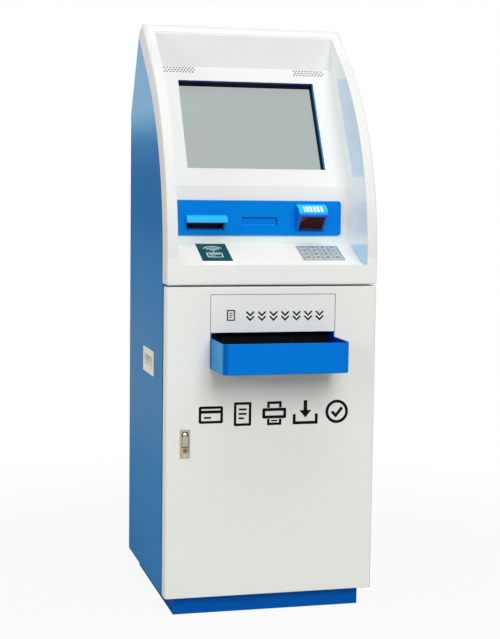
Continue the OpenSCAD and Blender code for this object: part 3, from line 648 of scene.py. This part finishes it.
frameEdges = {"halfWidth": 0.280, "alcoveHalf": 0.2525, "outer": 0.0048, "lip": 0.0013,
              "notBack": 0.3, "front": -0.2}


def isOuterFrameEdge(mid, edge):
    # the shell's outer corners: sides against front, crown and foot
    if max(abs(abs(v.co.x) - frameEdges["halfWidth"]) for v in edge.verts) > tiny:
        return False
    return max(f.normal.y for f in edge.link_faces) < frameEdges["notBack"]


def isFrameLip(mid, edge):
    inAlcove = max(abs(v.co.x) for v in edge.verts) < frameEdges["alcoveHalf"] + tiny
    front = min(f.normal.y for f in edge.link_faces) < frameEdges["front"]
    return inAlcove and front


soften("front_frame", [(frameEdges["outer"], 4, isOuterFrameEdge), (frameEdges["lip"], 3, isFrameLip)])

doorEdges = {"skin": 0.0022, "cut": 0.0005, "front": doorFace + 0.0005, "back": doorFace + 0.034,
             "foot": 0.0505, "middle": 0.4, "top": 0.859, "flat": 0.9, "cutHalf": 0.26, "cutLow": 0.06,
             "cutHigh": 0.85}


def isDoorRim(mid, edge):
    level = doorEdges["foot"] if mid.z < doorEdges["middle"] else doorEdges["top"]
    flat = max(abs(f.normal.z) for f in edge.link_faces) > doorEdges["flat"]
    return flat and max(abs(v.co.z - level) for v in edge.verts) < tiny and mid.y < doorEdges["back"]


def isDoorCut(mid, edge):
    inside = abs(mid.x) < doorEdges["cutHalf"] and doorEdges["cutLow"] < mid.z < doorEdges["cutHigh"]
    return mid.y < doorEdges["front"] and inside


soften("paper_door", [(doorEdges["skin"], 3, isDoorRim), (doorEdges["cut"], 2, isDoorCut)])

trayEdges = {"foot": 0.0024, "footAt": 0.6505, "rim": 0.0009, "rimAt": 0.7265,
             "footFront": doorFace - 0.002, "rimFront": doorFace + 0.0005, "below": -0.9,
             "bend": 0.016, "softBend": 0.021}


def easeBends(bm):
    # the upright bends of the tray, opened to an easier radius about the same walls
    bend, soft = trayEdges["bend"], trayEdges["softBend"]
    front = min(v.co.y for v in bm.verts)
    half = max(v.co.x for v in bm.verts if v.co.y < doorFace - bend)
    for vert in bm.verts:
        side = 1 if vert.co.x > 0 else -1
        arm = Vector((abs(vert.co.x) - half + bend, front + bend - vert.co.y))
        if min(arm) > -1e-6 and arm.length > bend / 2:
            arm *= (arm.length + soft - bend) / arm.length
            vert.co.x = side * (half - soft + arm.x)
            vert.co.y = front + soft - arm.y


def isTrayFoot(mid, edge):
    below = min(f.normal.z for f in edge.link_faces) < trayEdges["below"]
    return below and mid.z < trayEdges["footAt"] and mid.y < trayEdges["footFront"]


def isTrayRim(mid, edge):
    return mid.z > trayEdges["rimAt"] and mid.y < trayEdges["rimFront"]


soften("outlet_tray", [(trayEdges["foot"], 3, isTrayFoot), (trayEdges["rim"], 2, isTrayRim)],
       reshape=easeBends)


def onScreenCut(face):
    # the cut edge round the screen carries a thin blue trim
    if abs(face.normal.dot(panelIn)) > screenCut["flat"]:
        return 0
    place = face.calc_center_median() - panelFoot
    across = abs(place.x) < screenCut["half"] + screenCut["right"] + screenCut["near"]
    return 1 if across and screenCut["low"] < place.dot(panelUp) < screenCut["high"] else 0


def isScreenEdge(mid, edge):
    return abs(mid.x) < screenCut["edgeHalf"] and mid.z < screenCut["edgeTop"]


soften("screen_panel", [(screenCut["edge"], 1, isScreenEdge)], [finishes["panel_white"], trimBlue],
       onScreenCut, openScreen)
print("shells rounded")


def spot(x, y, z):
    # the drawing's millimetres, measured from the door's face, in the shared frame
    return Vector((x, y + doorFace * 1000, z)) / 1000


def planeAt(origin, up):
    # drawing plane: right along X, up as given, facing out
    right = Vector((1, 0, 0))
    up = Vector(up).normalized()
    axes = Matrix((right, up, right.cross(up))).transposed()
    return Matrix.Translation(origin) @ axes.to_4x4()


doorPlane = planeAt(spot(0, 0, 0), (0, 0, 1))
shelfPlane = planeAt(spot(0, 163, 965), (0, math.cos(slope), math.sin(slope)))


def boxShape(x0, y0, x1, y1):
    return [(x0, y0), (x1, y0), (x1, y1), (x0, y1)]


def roundBox(x0, y0, x1, y1, r, steps=5):
    points = []
    corners = ((x1 - r, y0 + r, -90), (x1 - r, y1 - r, 0), (x0 + r, y1 - r, 90), (x0 + r, y0 + r, 180))
    for cx, cy, start in corners:
        for i in range(steps + 1):
            turn = math.radians(start + 90 * i / steps)
            points.append((cx + r * math.cos(turn), cy + r * math.sin(turn)))
    return points


def boxRing(x0, y0, x1, y1, r, w):
    return roundBox(x0, y0, x1, y1, r), roundBox(x0 + w, y0 + w, x1 - w, y1 - w, max(r - w, 0.3))


def discShape(x, y, r, steps=28):
    turns = [2 * math.pi * i / steps for i in range(steps)]
    return [(x + r * math.cos(t), y + r * math.sin(t)) for t in turns]


def arcShape(x, y, r, w, start, end, steps=14):
    turns = [math.radians(start + (end - start) * i / steps) for i in range(steps + 1)]
    outer = [(x + (r + w / 2) * math.cos(t), y + (r + w / 2) * math.sin(t)) for t in turns]
    inner = [(x + (r - w / 2) * math.cos(t), y + (r - w / 2) * math.sin(t)) for t in turns]
    return outer + inner[::-1]


def strokeShape(points, w):
    # a line of even width with mitred bends
    line = [Vector(p) for p in points]
    left, right = [], []
    for i, here in enumerate(line):
        before = (here - line[i - 1]).normalized() if i else None
        after = (line[i + 1] - here).normalized() if i + 1 < len(line) else None
        first, last = before or after, after or before
        normal = Vector((-first.y - last.y, first.x + last.x)).normalized()
        mitre = w / 2 / max(0.35, normal.dot(Vector((-first.y, first.x))))
        left.append(here + normal * mitre)
        right.append(here - normal * mitre)
    return [tuple(p) for p in right + left[::-1]]


def decal(name, plane, shapes, body, material, lift=0.0, thick=0.2):
    # flat marks: each shape is an outline, or a pair of outlines for a ring
    bm = bmesh.new()
    low, high = lift / 1000, (lift + thick) / 1000
    corner = lambda p, h: bm.verts.new(plane @ Vector((p[0] / 1000, p[1] / 1000, h)))
    for shape in shapes:
        rings = shape if isinstance(shape, tuple) else (shape,)
        tops = [[corner(p, high) for p in ring] for ring in rings]
        feet = [[corner(p, low) for p in ring] for ring in rings]
        for top, foot in zip(tops, feet):
            for i in range(len(top)):
                j = (i + 1) % len(top)
                bm.faces.new((top[i], top[j], foot[j], foot[i]))
        for level in (tops, feet):
            if len(rings) == 1:
                bm.faces.new(level[0])
            else:
                for i in range(len(level[0])):
                    j = (i + 1) % len(level[0])
                    bm.faces.new((level[0][i], level[0][j], level[1][j], level[1][i]))
    bmesh.ops.recalc_face_normals(bm, faces=bm.faces[:])
    return pieceFrom(name, bm, body, [material])


def shifted(shapes, dx, dy, scale=1.0):
    move = lambda ring: [(x * scale + dx, y * scale + dy) for x, y in ring]
    return [tuple(move(r) for r in s) if isinstance(s, tuple) else move(s) for s in shapes]


# plain signs, each drawn in a 66 mm square about its middle
signSheet = [boxRing(-24, -32, 24, 32, 3, 7), boxShape(-11, 10, 11, 15), boxShape(-11, -2, 11, 3),
             boxShape(-11, -14, 4, -9)]
signCard = [boxRing(-33, -23, 33, 23, 5, 7), boxShape(-27, 4, 27, 12), boxShape(-19, -10, 1, -5)]
signPrinter = [boxRing(-33, -14, 33, 14, 4, 8), boxShape(-9, -22, 9, -18)]
for s in (-1, 1):
    signPrinter.append(strokeShape([(-16.5, s * 15), (-16.5, s * 28.5), (16.5, s * 28.5), (16.5, s * 15)], 7))
signTake = [strokeShape([(0, 33), (0, 2)], 10), [(-17, 6), (0, -14), (17, 6)],
            strokeShape([(-31, -4), (-31, -28), (31, -28), (31, -4)], 8)]
signTick = [(discShape(0, 0, 32, 40), discShape(0, 0, 24, 40)),
            strokeShape([(-14, 0), (-3, -11), (15, 11)], 8)]

doorSigns = {"middles": (-163, -79, 6, 90, 176), "height": 529.5, "scale": 0.97, "thick": 0.25}
shapes = []
for middle, sign in zip(doorSigns["middles"], (signCard, signSheet, signPrinter, signTake, signTick)):
    shapes += shifted(sign, middle, doorSigns["height"], doorSigns["scale"])
decal("door_signs", doorPlane, shapes, "door", signInk, 0.0, doorSigns["thick"])

plateSigns = {"sheetAt": (-113, 786), "sheetScale": 0.44, "chevrons": (-62, -31, 0, 31, 62, 93, 124),
              "heights": (789, 777), "reach": 10, "stroke": 4.2, "thick": 0.2}
shapes = shifted(signSheet, *plateSigns["sheetAt"], plateSigns["sheetScale"])
for x in plateSigns["chevrons"]:
    for z in plateSigns["heights"]:
        line = [(x - plateSigns["reach"], z + 6), (x, z - 4), (x + plateSigns["reach"], z + 6)]
        shapes.append(strokeShape(line, plateSigns["stroke"]))
decal("outlet_signs", doorPlane, shapes, "door", signInk, 0.0, plateSigns["thick"])

labelSigns = {"middle": (-127, -59.5), "waves": (12, 21, 30), "lift": 0.8, "thick": 0.15}
shapes = [boxRing(-30, -34, 12, -6, 3.5, 2.6), boxShape(-24, -17, 6, -12.5), boxShape(-24, -28, -10, -25.5)]
shapes += [arcShape(-8, 2, radius, 3, 35, 145) for radius in labelSigns["waves"]]
shapes.append(discShape(-8, 4, 2.6))
decal("label_signs", shelfPlane, shifted(shapes, *labelSigns["middle"]), "cabinet", signPale,
      labelSigns["lift"], labelSigns["thick"])
labelBorder = {"outer": (-177, -143, -93, -8), "inner": (-175.5, -115, -94.5, -10), "thick": 0.12}
decal("label_backing", shelfPlane, [(boxShape(*labelBorder["outer"]), boxShape(*labelBorder["inner"]))],
      "cabinet", stickerWhite, 0.0, labelBorder["thick"])
print("signs set")

# dark guard behind the tray, below the slit that the sheets leave by; it and the chute are black, painted
# shade for the tray's deep throat
guard = {"half": 162.8, "low": 653.0, "high": 728.0, "front": 35.6, "back": 37.2, "ribs": 26, "ribHalf": 2.2,
         "ribEnd": 3, "ribHigh": 1.2}
guardThick = guard["back"] - guard["front"]
guardPlane = planeAt(spot(0, guard["back"], 0), (0, 0, 1))
decal("tray_guard", guardPlane, [boxShape(-guard["half"], guard["low"], guard["half"], guard["high"])],
      "door", finishes["module_black"], 0.0, guardThick)
ribs = []
for i in range(1, guard["ribs"]):
    x = guard["half"] * (2 * i / guard["ribs"] - 1)
    ribs.append(boxShape(x - guard["ribHalf"], guard["low"] + guard["ribEnd"],
                         x + guard["ribHalf"], guard["high"] - guard["ribEnd"]))
decal("tray_guard_ribs", guardPlane, ribs, "door", finishes["module_black"], guardThick,
      guard["ribHigh"])
# the chute black too: painted shade in the tray's throat
frame["nodes"]["paper_chute"].data.materials[0] = finishes["module_black"]
frame["nodes"]["receipt_printer"].data.materials[0] = mouthPlastic


def prism(name, corners, material):
    # a straight fillet between two matching outlines
    bm = bmesh.new()
    ends = [[bm.verts.new(corner) for corner in end] for end in corners]
    for i in range(len(ends[0])):
        j = (i + 1) % len(ends[0])
        bm.faces.new((ends[0][i], ends[0][j], ends[1][j], ends[1][i]))
    for end in ends:
        bm.faces.new(end)
    bmesh.ops.recalc_face_normals(bm, faces=bm.faces[:])
    pieceFrom(name, bm, "cabinet", [material])


# filler between the frame's lip and the header panel, painted paler than the header: painted light in place
# of the crease's shade
headerFill = {"ends": (-252.3, 252.3),
              "profile": ((347.3, 1530.4), (349.75, 1523.3), (351.0, 1524.0), (350.5, 1529.5))}
prism("header_fill", [[spot(x, y, z) for y, z in headerFill["profile"]] for x in headerFill["ends"]],
      fillPaintedLight)

# the curved floor of each finger cup
scoop = {"mouth": 281.0, "reach": 26.8, "floor": 619.2, "rise": 38.0, "sag": 0.35, "ends": (186.0, 308.0),
         "steps": 8}
curve = []
for i in range(scoop["steps"] + 1):
    share = i / scoop["steps"]
    turn = math.pi / 2 * share
    inward = scoop["sag"] * math.sin(turn) + (1 - scoop["sag"]) * share
    upward = scoop["sag"] * (1 - math.cos(turn)) + (1 - scoop["sag"]) * share
    curve.append((scoop["mouth"] - scoop["reach"] * inward, scoop["floor"] + scoop["rise"] * upward))
curve.append((scoop["mouth"] - scoop["reach"], scoop["floor"]))
for side, name in ((-1, "left_cup_floor"), (1, "right_cup_floor")):
    prism(name, [[spot(side * x, y, z) for x, z in curve] for y in scoop["ends"]],
          finishes["handle_white"])

# the joint round the outlet plate, and painted shade round the blank slot with a painted lit line along its
# foot
plateGap = {"half": 166.5, "low": 741.5, "high": 839.5, "width": 1.1, "thick": 0.06}
half, z0, z1 = (plateGap[k] for k in ("half", "low", "high"))
joint = strokeShape([(-half, z0), (-half, z1), (half, z1), (half, z0)], plateGap["width"])
decal("plate_joint", doorPlane, [joint], "door", gapGrey, 0.0, plateGap["thick"])
slotPaintedLines = {"face": 161.0, "box": (-46.0, 1012.0, 50.0, 1032.0), "left": 1.0, "right": 3.2, "top": 2.6,
             "foot": 1.2, "gap": 0.1, "thick": 0.3}
slotPlane = planeAt(spot(0, slotPaintedLines["face"], 0), (0, 0, 1))
x0, z0, x1, z1 = slotPaintedLines["box"]
left, right, top = x0 + slotPaintedLines["left"], x1 - slotPaintedLines["right"], z1 - slotPaintedLines["top"]
shade = [(x0, z0), (left, z0), (left, top), (right, top), (right, z0), (x1, z0), (x1, z1), (x0, z1)]
decal("slot_shade", slotPlane, [shade], "cabinet", slotPaintedShade, 0.0, slotPaintedLines["thick"])
foot = boxShape(left + slotPaintedLines["gap"], z0, right - slotPaintedLines["gap"], z0 + slotPaintedLines["foot"])
decal("slot_painted_light", slotPlane, [foot], "cabinet", slotPaintedLight, 0.0, slotPaintedLines["thick"])

# a pale strip behind and right of the keypad, a painted highlight on its edges, and the black seal of the
# scanner's window
padHighlight = {"left": 96.0, "right": 208.7, "front": -112.5, "back": -29.0, "wide": 2.2, "high": 2.4}
x0, x1, y0, y1, w = (padHighlight[k] for k in ("left", "right", "front", "back", "wide"))
corner = [(x0, y1), (x1, y1), (x1, y0), (x1 + w, y0), (x1 + w, y1 + w), (x0, y1 + w)]
decal("keypad_highlight_strip", shelfPlane, [corner], "cabinet", keypadPaintedHighlight, 0.0, padHighlight["high"])
windowSeal = {"foot": (140, 152, 997), "up": (0, -34, 39), "outer": (-33.2, 1.2, 33.2, 50.4),
              "inner": (-31.5, 5.0, 31.5, 47.7), "thick": 0.3}
windowPlane = planeAt(spot(*windowSeal["foot"]), windowSeal["up"])
decal("window_seal", windowPlane, [(boxShape(*windowSeal["outer"]), boxShape(*windowSeal["inner"]))],
      "cabinet", sealBlack, 0.0, windowSeal["thick"])

# the lock's fixed lug in its arched well, a pale rivet below the plug that stands in for a highlight there,
# and a painted shadow line beside the grip
lock = {"x": -230.5, "archHeight": 480.0, "wellFoot": 477.0, "wellRadius": 8.4, "wellAt": -9.0,
        "wellThick": 0.6, "lugFoot": 477.4, "lugRadius": 5.5, "lugBack": -8.0, "lugFront": 1.4,
        "lugEdge": 0.0016, "rivetAt": 425.6, "rivetRadius": 5.8, "rivetBack": 1.6, "rivetThick": 1.4,
        "rivetEdge": 0.0006, "gap": (8.1, 434.0, 9.5, 477.0), "shadowLineAt": 2.0, "shadowLineThick": 0.06}


def archShape(radius, foot):
    turns = [math.pi * i / 16 for i in range(17)]
    arch = [(lock["x"] + radius * math.cos(t), lock["archHeight"] + radius * math.sin(t)) for t in turns]
    return [(lock["x"] + radius, foot)] + arch + [(lock["x"] - radius, foot)]


decal("lock_well", doorPlane, [archShape(lock["wellRadius"], lock["wellFoot"])], "door",
      wellBlack, lock["wellAt"], lock["wellThick"])
lug = decal("lock_lug", doorPlane, [archShape(lock["lugRadius"], lock["lugFoot"])], "door",
            lugChrome, lock["lugBack"], lock["lugFront"] - lock["lugBack"])
rivet = decal("lock_rivet", doorPlane, [discShape(lock["x"], lock["rivetAt"], lock["rivetRadius"])], "door",
              rivetHighlightMetal, lock["rivetBack"], lock["rivetThick"])
# painted shadow line beside the grip
decal("lock_shadow_line", doorPlane, shifted([boxShape(*lock["gap"])], lock["x"], 0), "door", wellBlack,
      lock["shadowLineAt"], lock["shadowLineThick"])
roundEdges(lug, lock["lugEdge"])
roundEdges(rivet, lock["rivetEdge"])
print("trims set")

# inside: the printer's status strip and seams, and the computer's sockets
printerFace = {"front": 112.0, "strip": (96.0, 724.0, 186.0, 750.0), "stripHigh": 0.8, "inset": 6,
               "display": 52, "displayHigh": 0.2, "lamps": (62, 73, 84), "lamp": 2.4, "lampHigh": 0.5,
               "card": (-182.0, 488.0, -120.0, 516.0), "cardHigh": 0.15, "seamHigh": 0.08,
               "seams": ((-209, 676, 209, 677.1), (-196, 476, -195, 560), (195, 476, 196, 560))}
printerPlane = planeAt(spot(0, printerFace["front"], 0), (0, 0, 1))
x0, z0, x1, z1 = printerFace["strip"]
inset, stripHigh = printerFace["inset"], printerFace["stripHigh"]
decal("printer_status", printerPlane, [roundBox(x0, z0, x1, z1, 4)], "cabinet",
      finishes["module_black"], 0.0, stripHigh)
display = roundBox(x0 + inset, z0 + inset, x0 + printerFace["display"], z1 - inset, 1.5)
decal("printer_display", printerPlane, [display], "cabinet", statusPale, stripHigh,
      printerFace["displayHigh"])
lamps = [discShape(x0 + x, (z0 + z1) / 2, printerFace["lamp"]) for x in printerFace["lamps"]]
decal("printer_lamps", printerPlane, lamps, "cabinet", lampGreen, stripHigh,
      printerFace["lampHigh"])
decal("printer_seams", printerPlane, [boxShape(*seam) for seam in printerFace["seams"]], "cabinet",
      gapGrey, 0.0, printerFace["seamHigh"])
decal("printer_card", printerPlane, [roundBox(*printerFace["card"], 2)], "cabinet",
      stickerWhite, 0.0, printerFace["cardHigh"])
computerFace = {"front": 170.0, "height": 60, "rings": (-118, -94, -70), "jacks": (-40, -24), "lampAt": 112,
                "lamp": 2.6, "lampHigh": 0.6, "socketHigh": 0.7}
computerPlane = planeAt(spot(0, computerFace["front"], 0), (0, 0, 1))
z = computerFace["height"]
sockets = [boxRing(x - 9, z - 4.5, x + 9, z + 4.5, 1.2, 1.6) for x in computerFace["rings"]]
sockets += [(discShape(x, z, 4.6), discShape(x, z, 2.4)) for x in computerFace["jacks"]]
decal("computer_sockets", computerPlane, sockets, "cabinet", finishes["galvanised"], 0.0,
      computerFace["socketHigh"])
decal("computer_lamp", computerPlane, [discShape(computerFace["lampAt"], z, computerFace["lamp"])], "cabinet",
      lampGreen, 0.0, computerFace["lampHigh"])

# back: screw heads round the rear panel, a bare rating plate, and the pins of the inlet
rear = {"face": 550.0, "edge": 262.0, "heights": (80, 330, 580, 830, 1080, 1290), "lowRow": (-131, 0, 131),
        "lowAt": 66, "head": 4.6, "headHigh": 1.8, "headEdge": 0.0007, "slot": (-2.6, -0.5, 2.6, 0.5),
        "plate": (70, 96, 150, 146), "plateHigh": 0.6, "lines": (106, 114, 122, 130, 138), "printHigh": 0.06}
lookBack = Matrix.Rotation(math.pi, 4, "Z") @ planeAt(Vector((0, 0, 0)), (0, 0, 1))
backPlane = Matrix.Translation(spot(0, rear["face"], 0)) @ lookBack
screwPlaces = [(side * rear["edge"], z) for side in (-1, 1) for z in rear["heights"]]
screwPlaces += [(x, rear["lowAt"]) for x in rear["lowRow"]]
heads = [discShape(x, z, rear["head"], 20) for x, z in screwPlaces]
screws = decal("rear_screws", backPlane, heads, "cabinet", finishes["hinge_steel"], 0.0,
               rear["headHigh"])
roundEdges(screws, rear["headEdge"])
slots = [shape for x, z in screwPlaces for shape in shifted([boxShape(*rear["slot"])], x, z)]
decal("rear_screw_slots", backPlane, slots, "cabinet", finishes["module_black"],
      rear["headHigh"], rear["printHigh"])
x0, z0, x1, z1 = rear["plate"]
decal("rating_plate", backPlane, [roundBox(x0, z0, x1, z1, 3)], "cabinet",
      finishes["galvanised"], 0.0, rear["plateHigh"])
lines = [boxShape(x0 + 6, z, x1 - (6 if z > rear["lines"][0] else 34), z + 1.4) for z in rear["lines"]]
decal("rating_lines", backPlane, lines, "cabinet", signInk, rear["plateHigh"],
      rear["printHigh"])
inlet = {"place": (0, 536, 124), "pins": ((-7, -2), (0, 2.4), (7, -2)), "pin": (-1.0, -2.0, 1.0, 2.0),
         "long": 10.5}
inletPlane = Matrix.Translation(spot(*inlet["place"])) @ lookBack
pins = [shape for x, z in inlet["pins"] for shape in shifted([boxShape(*inlet["pin"])], x, z)]
decal("inlet_pins", inletPlane, pins, "cabinet", finishes["hinge_steel"], 0.0, inlet["long"])
print("inside and back dressed")

# keys: figures on ten of them, and plain marks on the rest
keypad = {"middle": (152.5, -71.0), "pitch": (27.0, 60.5 / 3), "top": 4.0, "figure": 13.3, "bolder": 0.12,
          "thick": 0.12}
keyMarks = [["1", "2", "3", "cancel"], ["4", "5", "6", "clear"], ["7", "8", "9", "blank"],
            ["star", "0", "hash", "enter"]]
starArms = (((-3.8, -2.2), (-0.7, -0.4)), ((0.7, 0.4), (3.8, 2.2)))
hashSpans = ((-4.4, -2.4), (-1.0, 1.0), (2.4, 4.4))
plainMarks = {
    "cancel": [strokeShape([(-4, -4), (4, 4)], 1.7), strokeShape([(-4, 4), (-0.9, 0.9)], 1.7),
               strokeShape([(0.9, -0.9), (4, -4)], 1.7)],
    "clear": [strokeShape([(6, 0), (-4, 0)], 1.6), [(-7, 0), (-2.6, -3.6), (-2.6, 3.6)]],
    "blank": [boxShape(-5, -0.9, 5, 0.9)],
    "enter": [(discShape(0, 0, 4.85), discShape(0, 0, 3.15))],
    "star": [strokeShape([(0, -4.4), (0, 4.4)], 1.5)]
            + [strokeShape([(x, s * z) for x, z in arm], 1.5) for s in (1, -1) for arm in starArms],
    "hash": [strokeShape([(x, -4.4), (x, 4.4)], 1.3) for x in (-1.7, 1.7)]
            + [boxShape(x0, z0, x1, z1) for z0, z1 in ((1.1, 2.3), (-2.3, -1.1)) for x0, x1 in hashSpans],
}


def addFigure(figure, u, v, body):
    data = bpy.data.curves.new("mark_" + figure, "FONT")
    data.body = figure
    data.size = keypad["figure"] / 1000
    data.align_x = "CENTER"
    data.align_y = "CENTER"
    data.offset = keypad["bolder"] / 1000
    data.extrude = keypad["thick"] / 2000
    data.materials.append(keyInk)
    piece = bpy.data.objects.new("mark_" + figure, data)
    scene.collection.objects.link(piece)
    middle = Vector((u, v, keypad["top"] + keypad["thick"] / 2)) / 1000
    piece.matrix_world = shelfPlane @ Matrix.Translation(middle)
    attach(piece, body)


for row, marks in enumerate(keyMarks):
    for column, mark in enumerate(marks):
        u = keypad["middle"][0] + (column - 1.5) * keypad["pitch"][0]
        v = keypad["middle"][1] + (1.5 - row) * keypad["pitch"][1]
        body = nodeBody["key_" + mark]
        if mark in plainMarks:
            decal("mark_" + mark, shelfPlane, shifted(plainMarks[mark], u, v), body, keyInk,
                  keypad["top"], keypad["thick"])
        else:
            addFigure(mark, u, v, body)
print("keys marked")

# barcode bars that follow the scanner hood's round top, each as (middle, width)
hoodBars = {"middle": 140, "back": 157, "top": 1068, "outward": 42.0, "fall": 27.0, "from": 0.42, "to": 0.84,
            "steps": 8, "lift": 0.12,
            "bars": ((-24, 3.6), (-18.6, 1.8), (-15, 3.6), (-9.4, 1.8), (-5.6, 5.4), (1.8, 1.8), (5.4, 3.6),
                     (11, 1.8), (14.4, 5.4), (21.6, 1.8), (25.2, 3.6))}


def addHoodBars(look):
    radius = (look["outward"] ** 2 + look["fall"] ** 2) / (2 * look["fall"])
    lipTurn = math.asin(look["outward"] / radius)
    bm = bmesh.new()
    for x, w in look["bars"]:
        rows = []
        for i in range(look["steps"] + 1):
            turn = lipTurn * (look["from"] + (look["to"] - look["from"]) * i / look["steps"])
            ring = []
            for level, s in ((0, -1), (0, 1), (1, 1), (1, -1)):
                out = radius + look["lift"] * level
                y, z = look["back"] - out * math.sin(turn), look["top"] - radius + out * math.cos(turn)
                ring.append(bm.verts.new(spot(look["middle"] + x + s * w / 2, y, z)))
            rows.append(ring)
        for a, b in zip(rows, rows[1:]):
            for i in range(4):
                bm.faces.new((a[i], b[i], b[(i + 1) % 4], a[(i + 1) % 4]))
        bm.faces.new(rows[0])
        bm.faces.new(rows[-1])
    bmesh.ops.recalc_face_normals(bm, faces=bm.faces[:])
    pieceFrom("hood_bars", bm, "cabinet", [signPale])


addHoodBars(hoodBars)
print("hood marked")

# camera, as fitted to the photograph's straight edges
camera = {"place": (-0.98665, -3.78885, 1.13806), "yaw": 14.47, "pitch": -5.61, "roll": 0.75, "lens": 81.497,
          "sensor": 36}


def addCamera(view):
    yaw, pitch, roll = (math.radians(view[k]) for k in ("yaw", "pitch", "roll"))
    ahead = Vector((math.sin(yaw) * math.cos(pitch), math.cos(yaw) * math.cos(pitch), math.sin(pitch)))
    right = Vector((math.cos(yaw), -math.sin(yaw), 0))
    up = right.cross(ahead)
    turnedRight = right * math.cos(roll) + up * math.sin(roll)
    turnedUp = up * math.cos(roll) - right * math.sin(roll)
    data = bpy.data.cameras.new("photoCamera")
    data.lens = view["lens"]
    data.sensor_width = view["sensor"]
    data.dof.use_dof = False
    obj = bpy.data.objects.new("photoCamera", data)
    scene.collection.objects.link(obj)
    axes = Matrix((turnedRight, turnedUp, -ahead)).transposed()
    obj.matrix_world = Matrix.Translation(view["place"]) @ axes.to_4x4()
    scene.camera = obj


addCamera(camera)

studio = {
    "ambient": 0.34,
    "lamps": [
        # name, place, aim, width, height, watts
        ("frontLamp", (0.35, -5.7, 3.9), (0.0, -0.1, 0.9), 3.2, 3.6, 245),
        ("fillLamp", (-5.2, -2.6, 2.4), (0.0, -0.1, 0.9), 2.4, 2.4, 74),
        ("topLamp", (0.0, -1.3, 5.8), (0.0, 0.0, 1.0), 3.4, 3.0, 100),
    ],
    "floorSize": 8.0,
    "floorFade": (0.8, 2.2),
    "floorWhite": 0.92,
    "floorColour": srgb(200, 200, 200),
}


def addLamps(setup):
    for name, place, aim, width, height, watts in setup["lamps"]:
        data = bpy.data.lights.new(name, "AREA")
        data.shape = "RECTANGLE"
        data.size = width
        data.size_y = height
        data.energy = watts
        obj = bpy.data.objects.new(name, data)
        scene.collection.objects.link(obj)
        obj.location = place
        obj.rotation_mode = "QUATERNION"
        obj.rotation_quaternion = (Vector(aim) - Vector(place)).to_track_quat("-Z", "Y")
        obj.visible_camera = False


def addSky(setup):
    # white where it is seen, and a plain level of light elsewhere
    world = bpy.data.worlds.new("studioWorld")
    world.use_nodes = True
    world.node_tree.nodes.clear()
    wire = Wire(world.node_tree)
    kinds = ("Is Camera Ray", "Is Glossy Ray", "Is Transmission Ray")
    direct, mirrored, through = (wire.node("ShaderNodeLightPath", out=kind) for kind in kinds)
    seen = wire.reckon("MAXIMUM", wire.reckon("MAXIMUM", direct, mirrored), through)
    strength = seen + (1 - seen) * setup["ambient"]
    sky = wire.node("ShaderNodeBackground", {}, {"Color": (1, 1, 1, 1), "Strength": strength})
    wire.node("ShaderNodeOutputWorld", {}, {"Surface": sky})
    scene.world = world


def addFloor(setup):
    # paper that keeps the shadow and fades out around the object
    half = setup["floorSize"] / 2
    bm = bmesh.new()
    corners = [bm.verts.new((x * half, y * half, 0)) for x, y in ((-1, -1), (1, -1), (1, 1), (-1, 1))]
    bm.faces.new(corners)
    mesh = bpy.data.meshes.new("studioFloor")
    bm.to_mesh(mesh)
    bm.free()
    floor = bpy.data.objects.new("studioFloor", mesh)
    scene.collection.objects.link(floor)
    material, wire, place = startMaterial("floorPaper")
    far = wire.node("ShaderNodeVectorMath", {"operation": "LENGTH"}, {0: place}, out="Value")
    fade = smoothRange(wire, far, *setup["floorFade"])
    tone = blend(wire, noise(wire, place, 260.0), shaded(setup["floorColour"], 0.99), setup["floorColour"])
    paper = wire.node("ShaderNodeBsdfDiffuse", {}, {"Color": tone})
    clear = wire.node("ShaderNodeBsdfTransparent")
    lit = wire.node("ShaderNodeEmission", {}, {"Color": (1, 1, 1, 1), "Strength": 1.0})
    seen = wire.node("ShaderNodeLightPath", out="Is Camera Ray")
    paper = wire.node("ShaderNodeMixShader", {}, {0: seen * setup["floorWhite"], 1: paper, 2: lit})
    mixed = wire.node("ShaderNodeMixShader", {}, {0: fade, 1: paper, 2: clear})
    wire.node("ShaderNodeOutputMaterial", {}, {"Surface": mixed})
    mesh.materials.append(material)


addLamps(studio)
addSky(studio)
addFloor(studio)
scene.view_settings.view_transform = "Standard"
print("studio set")
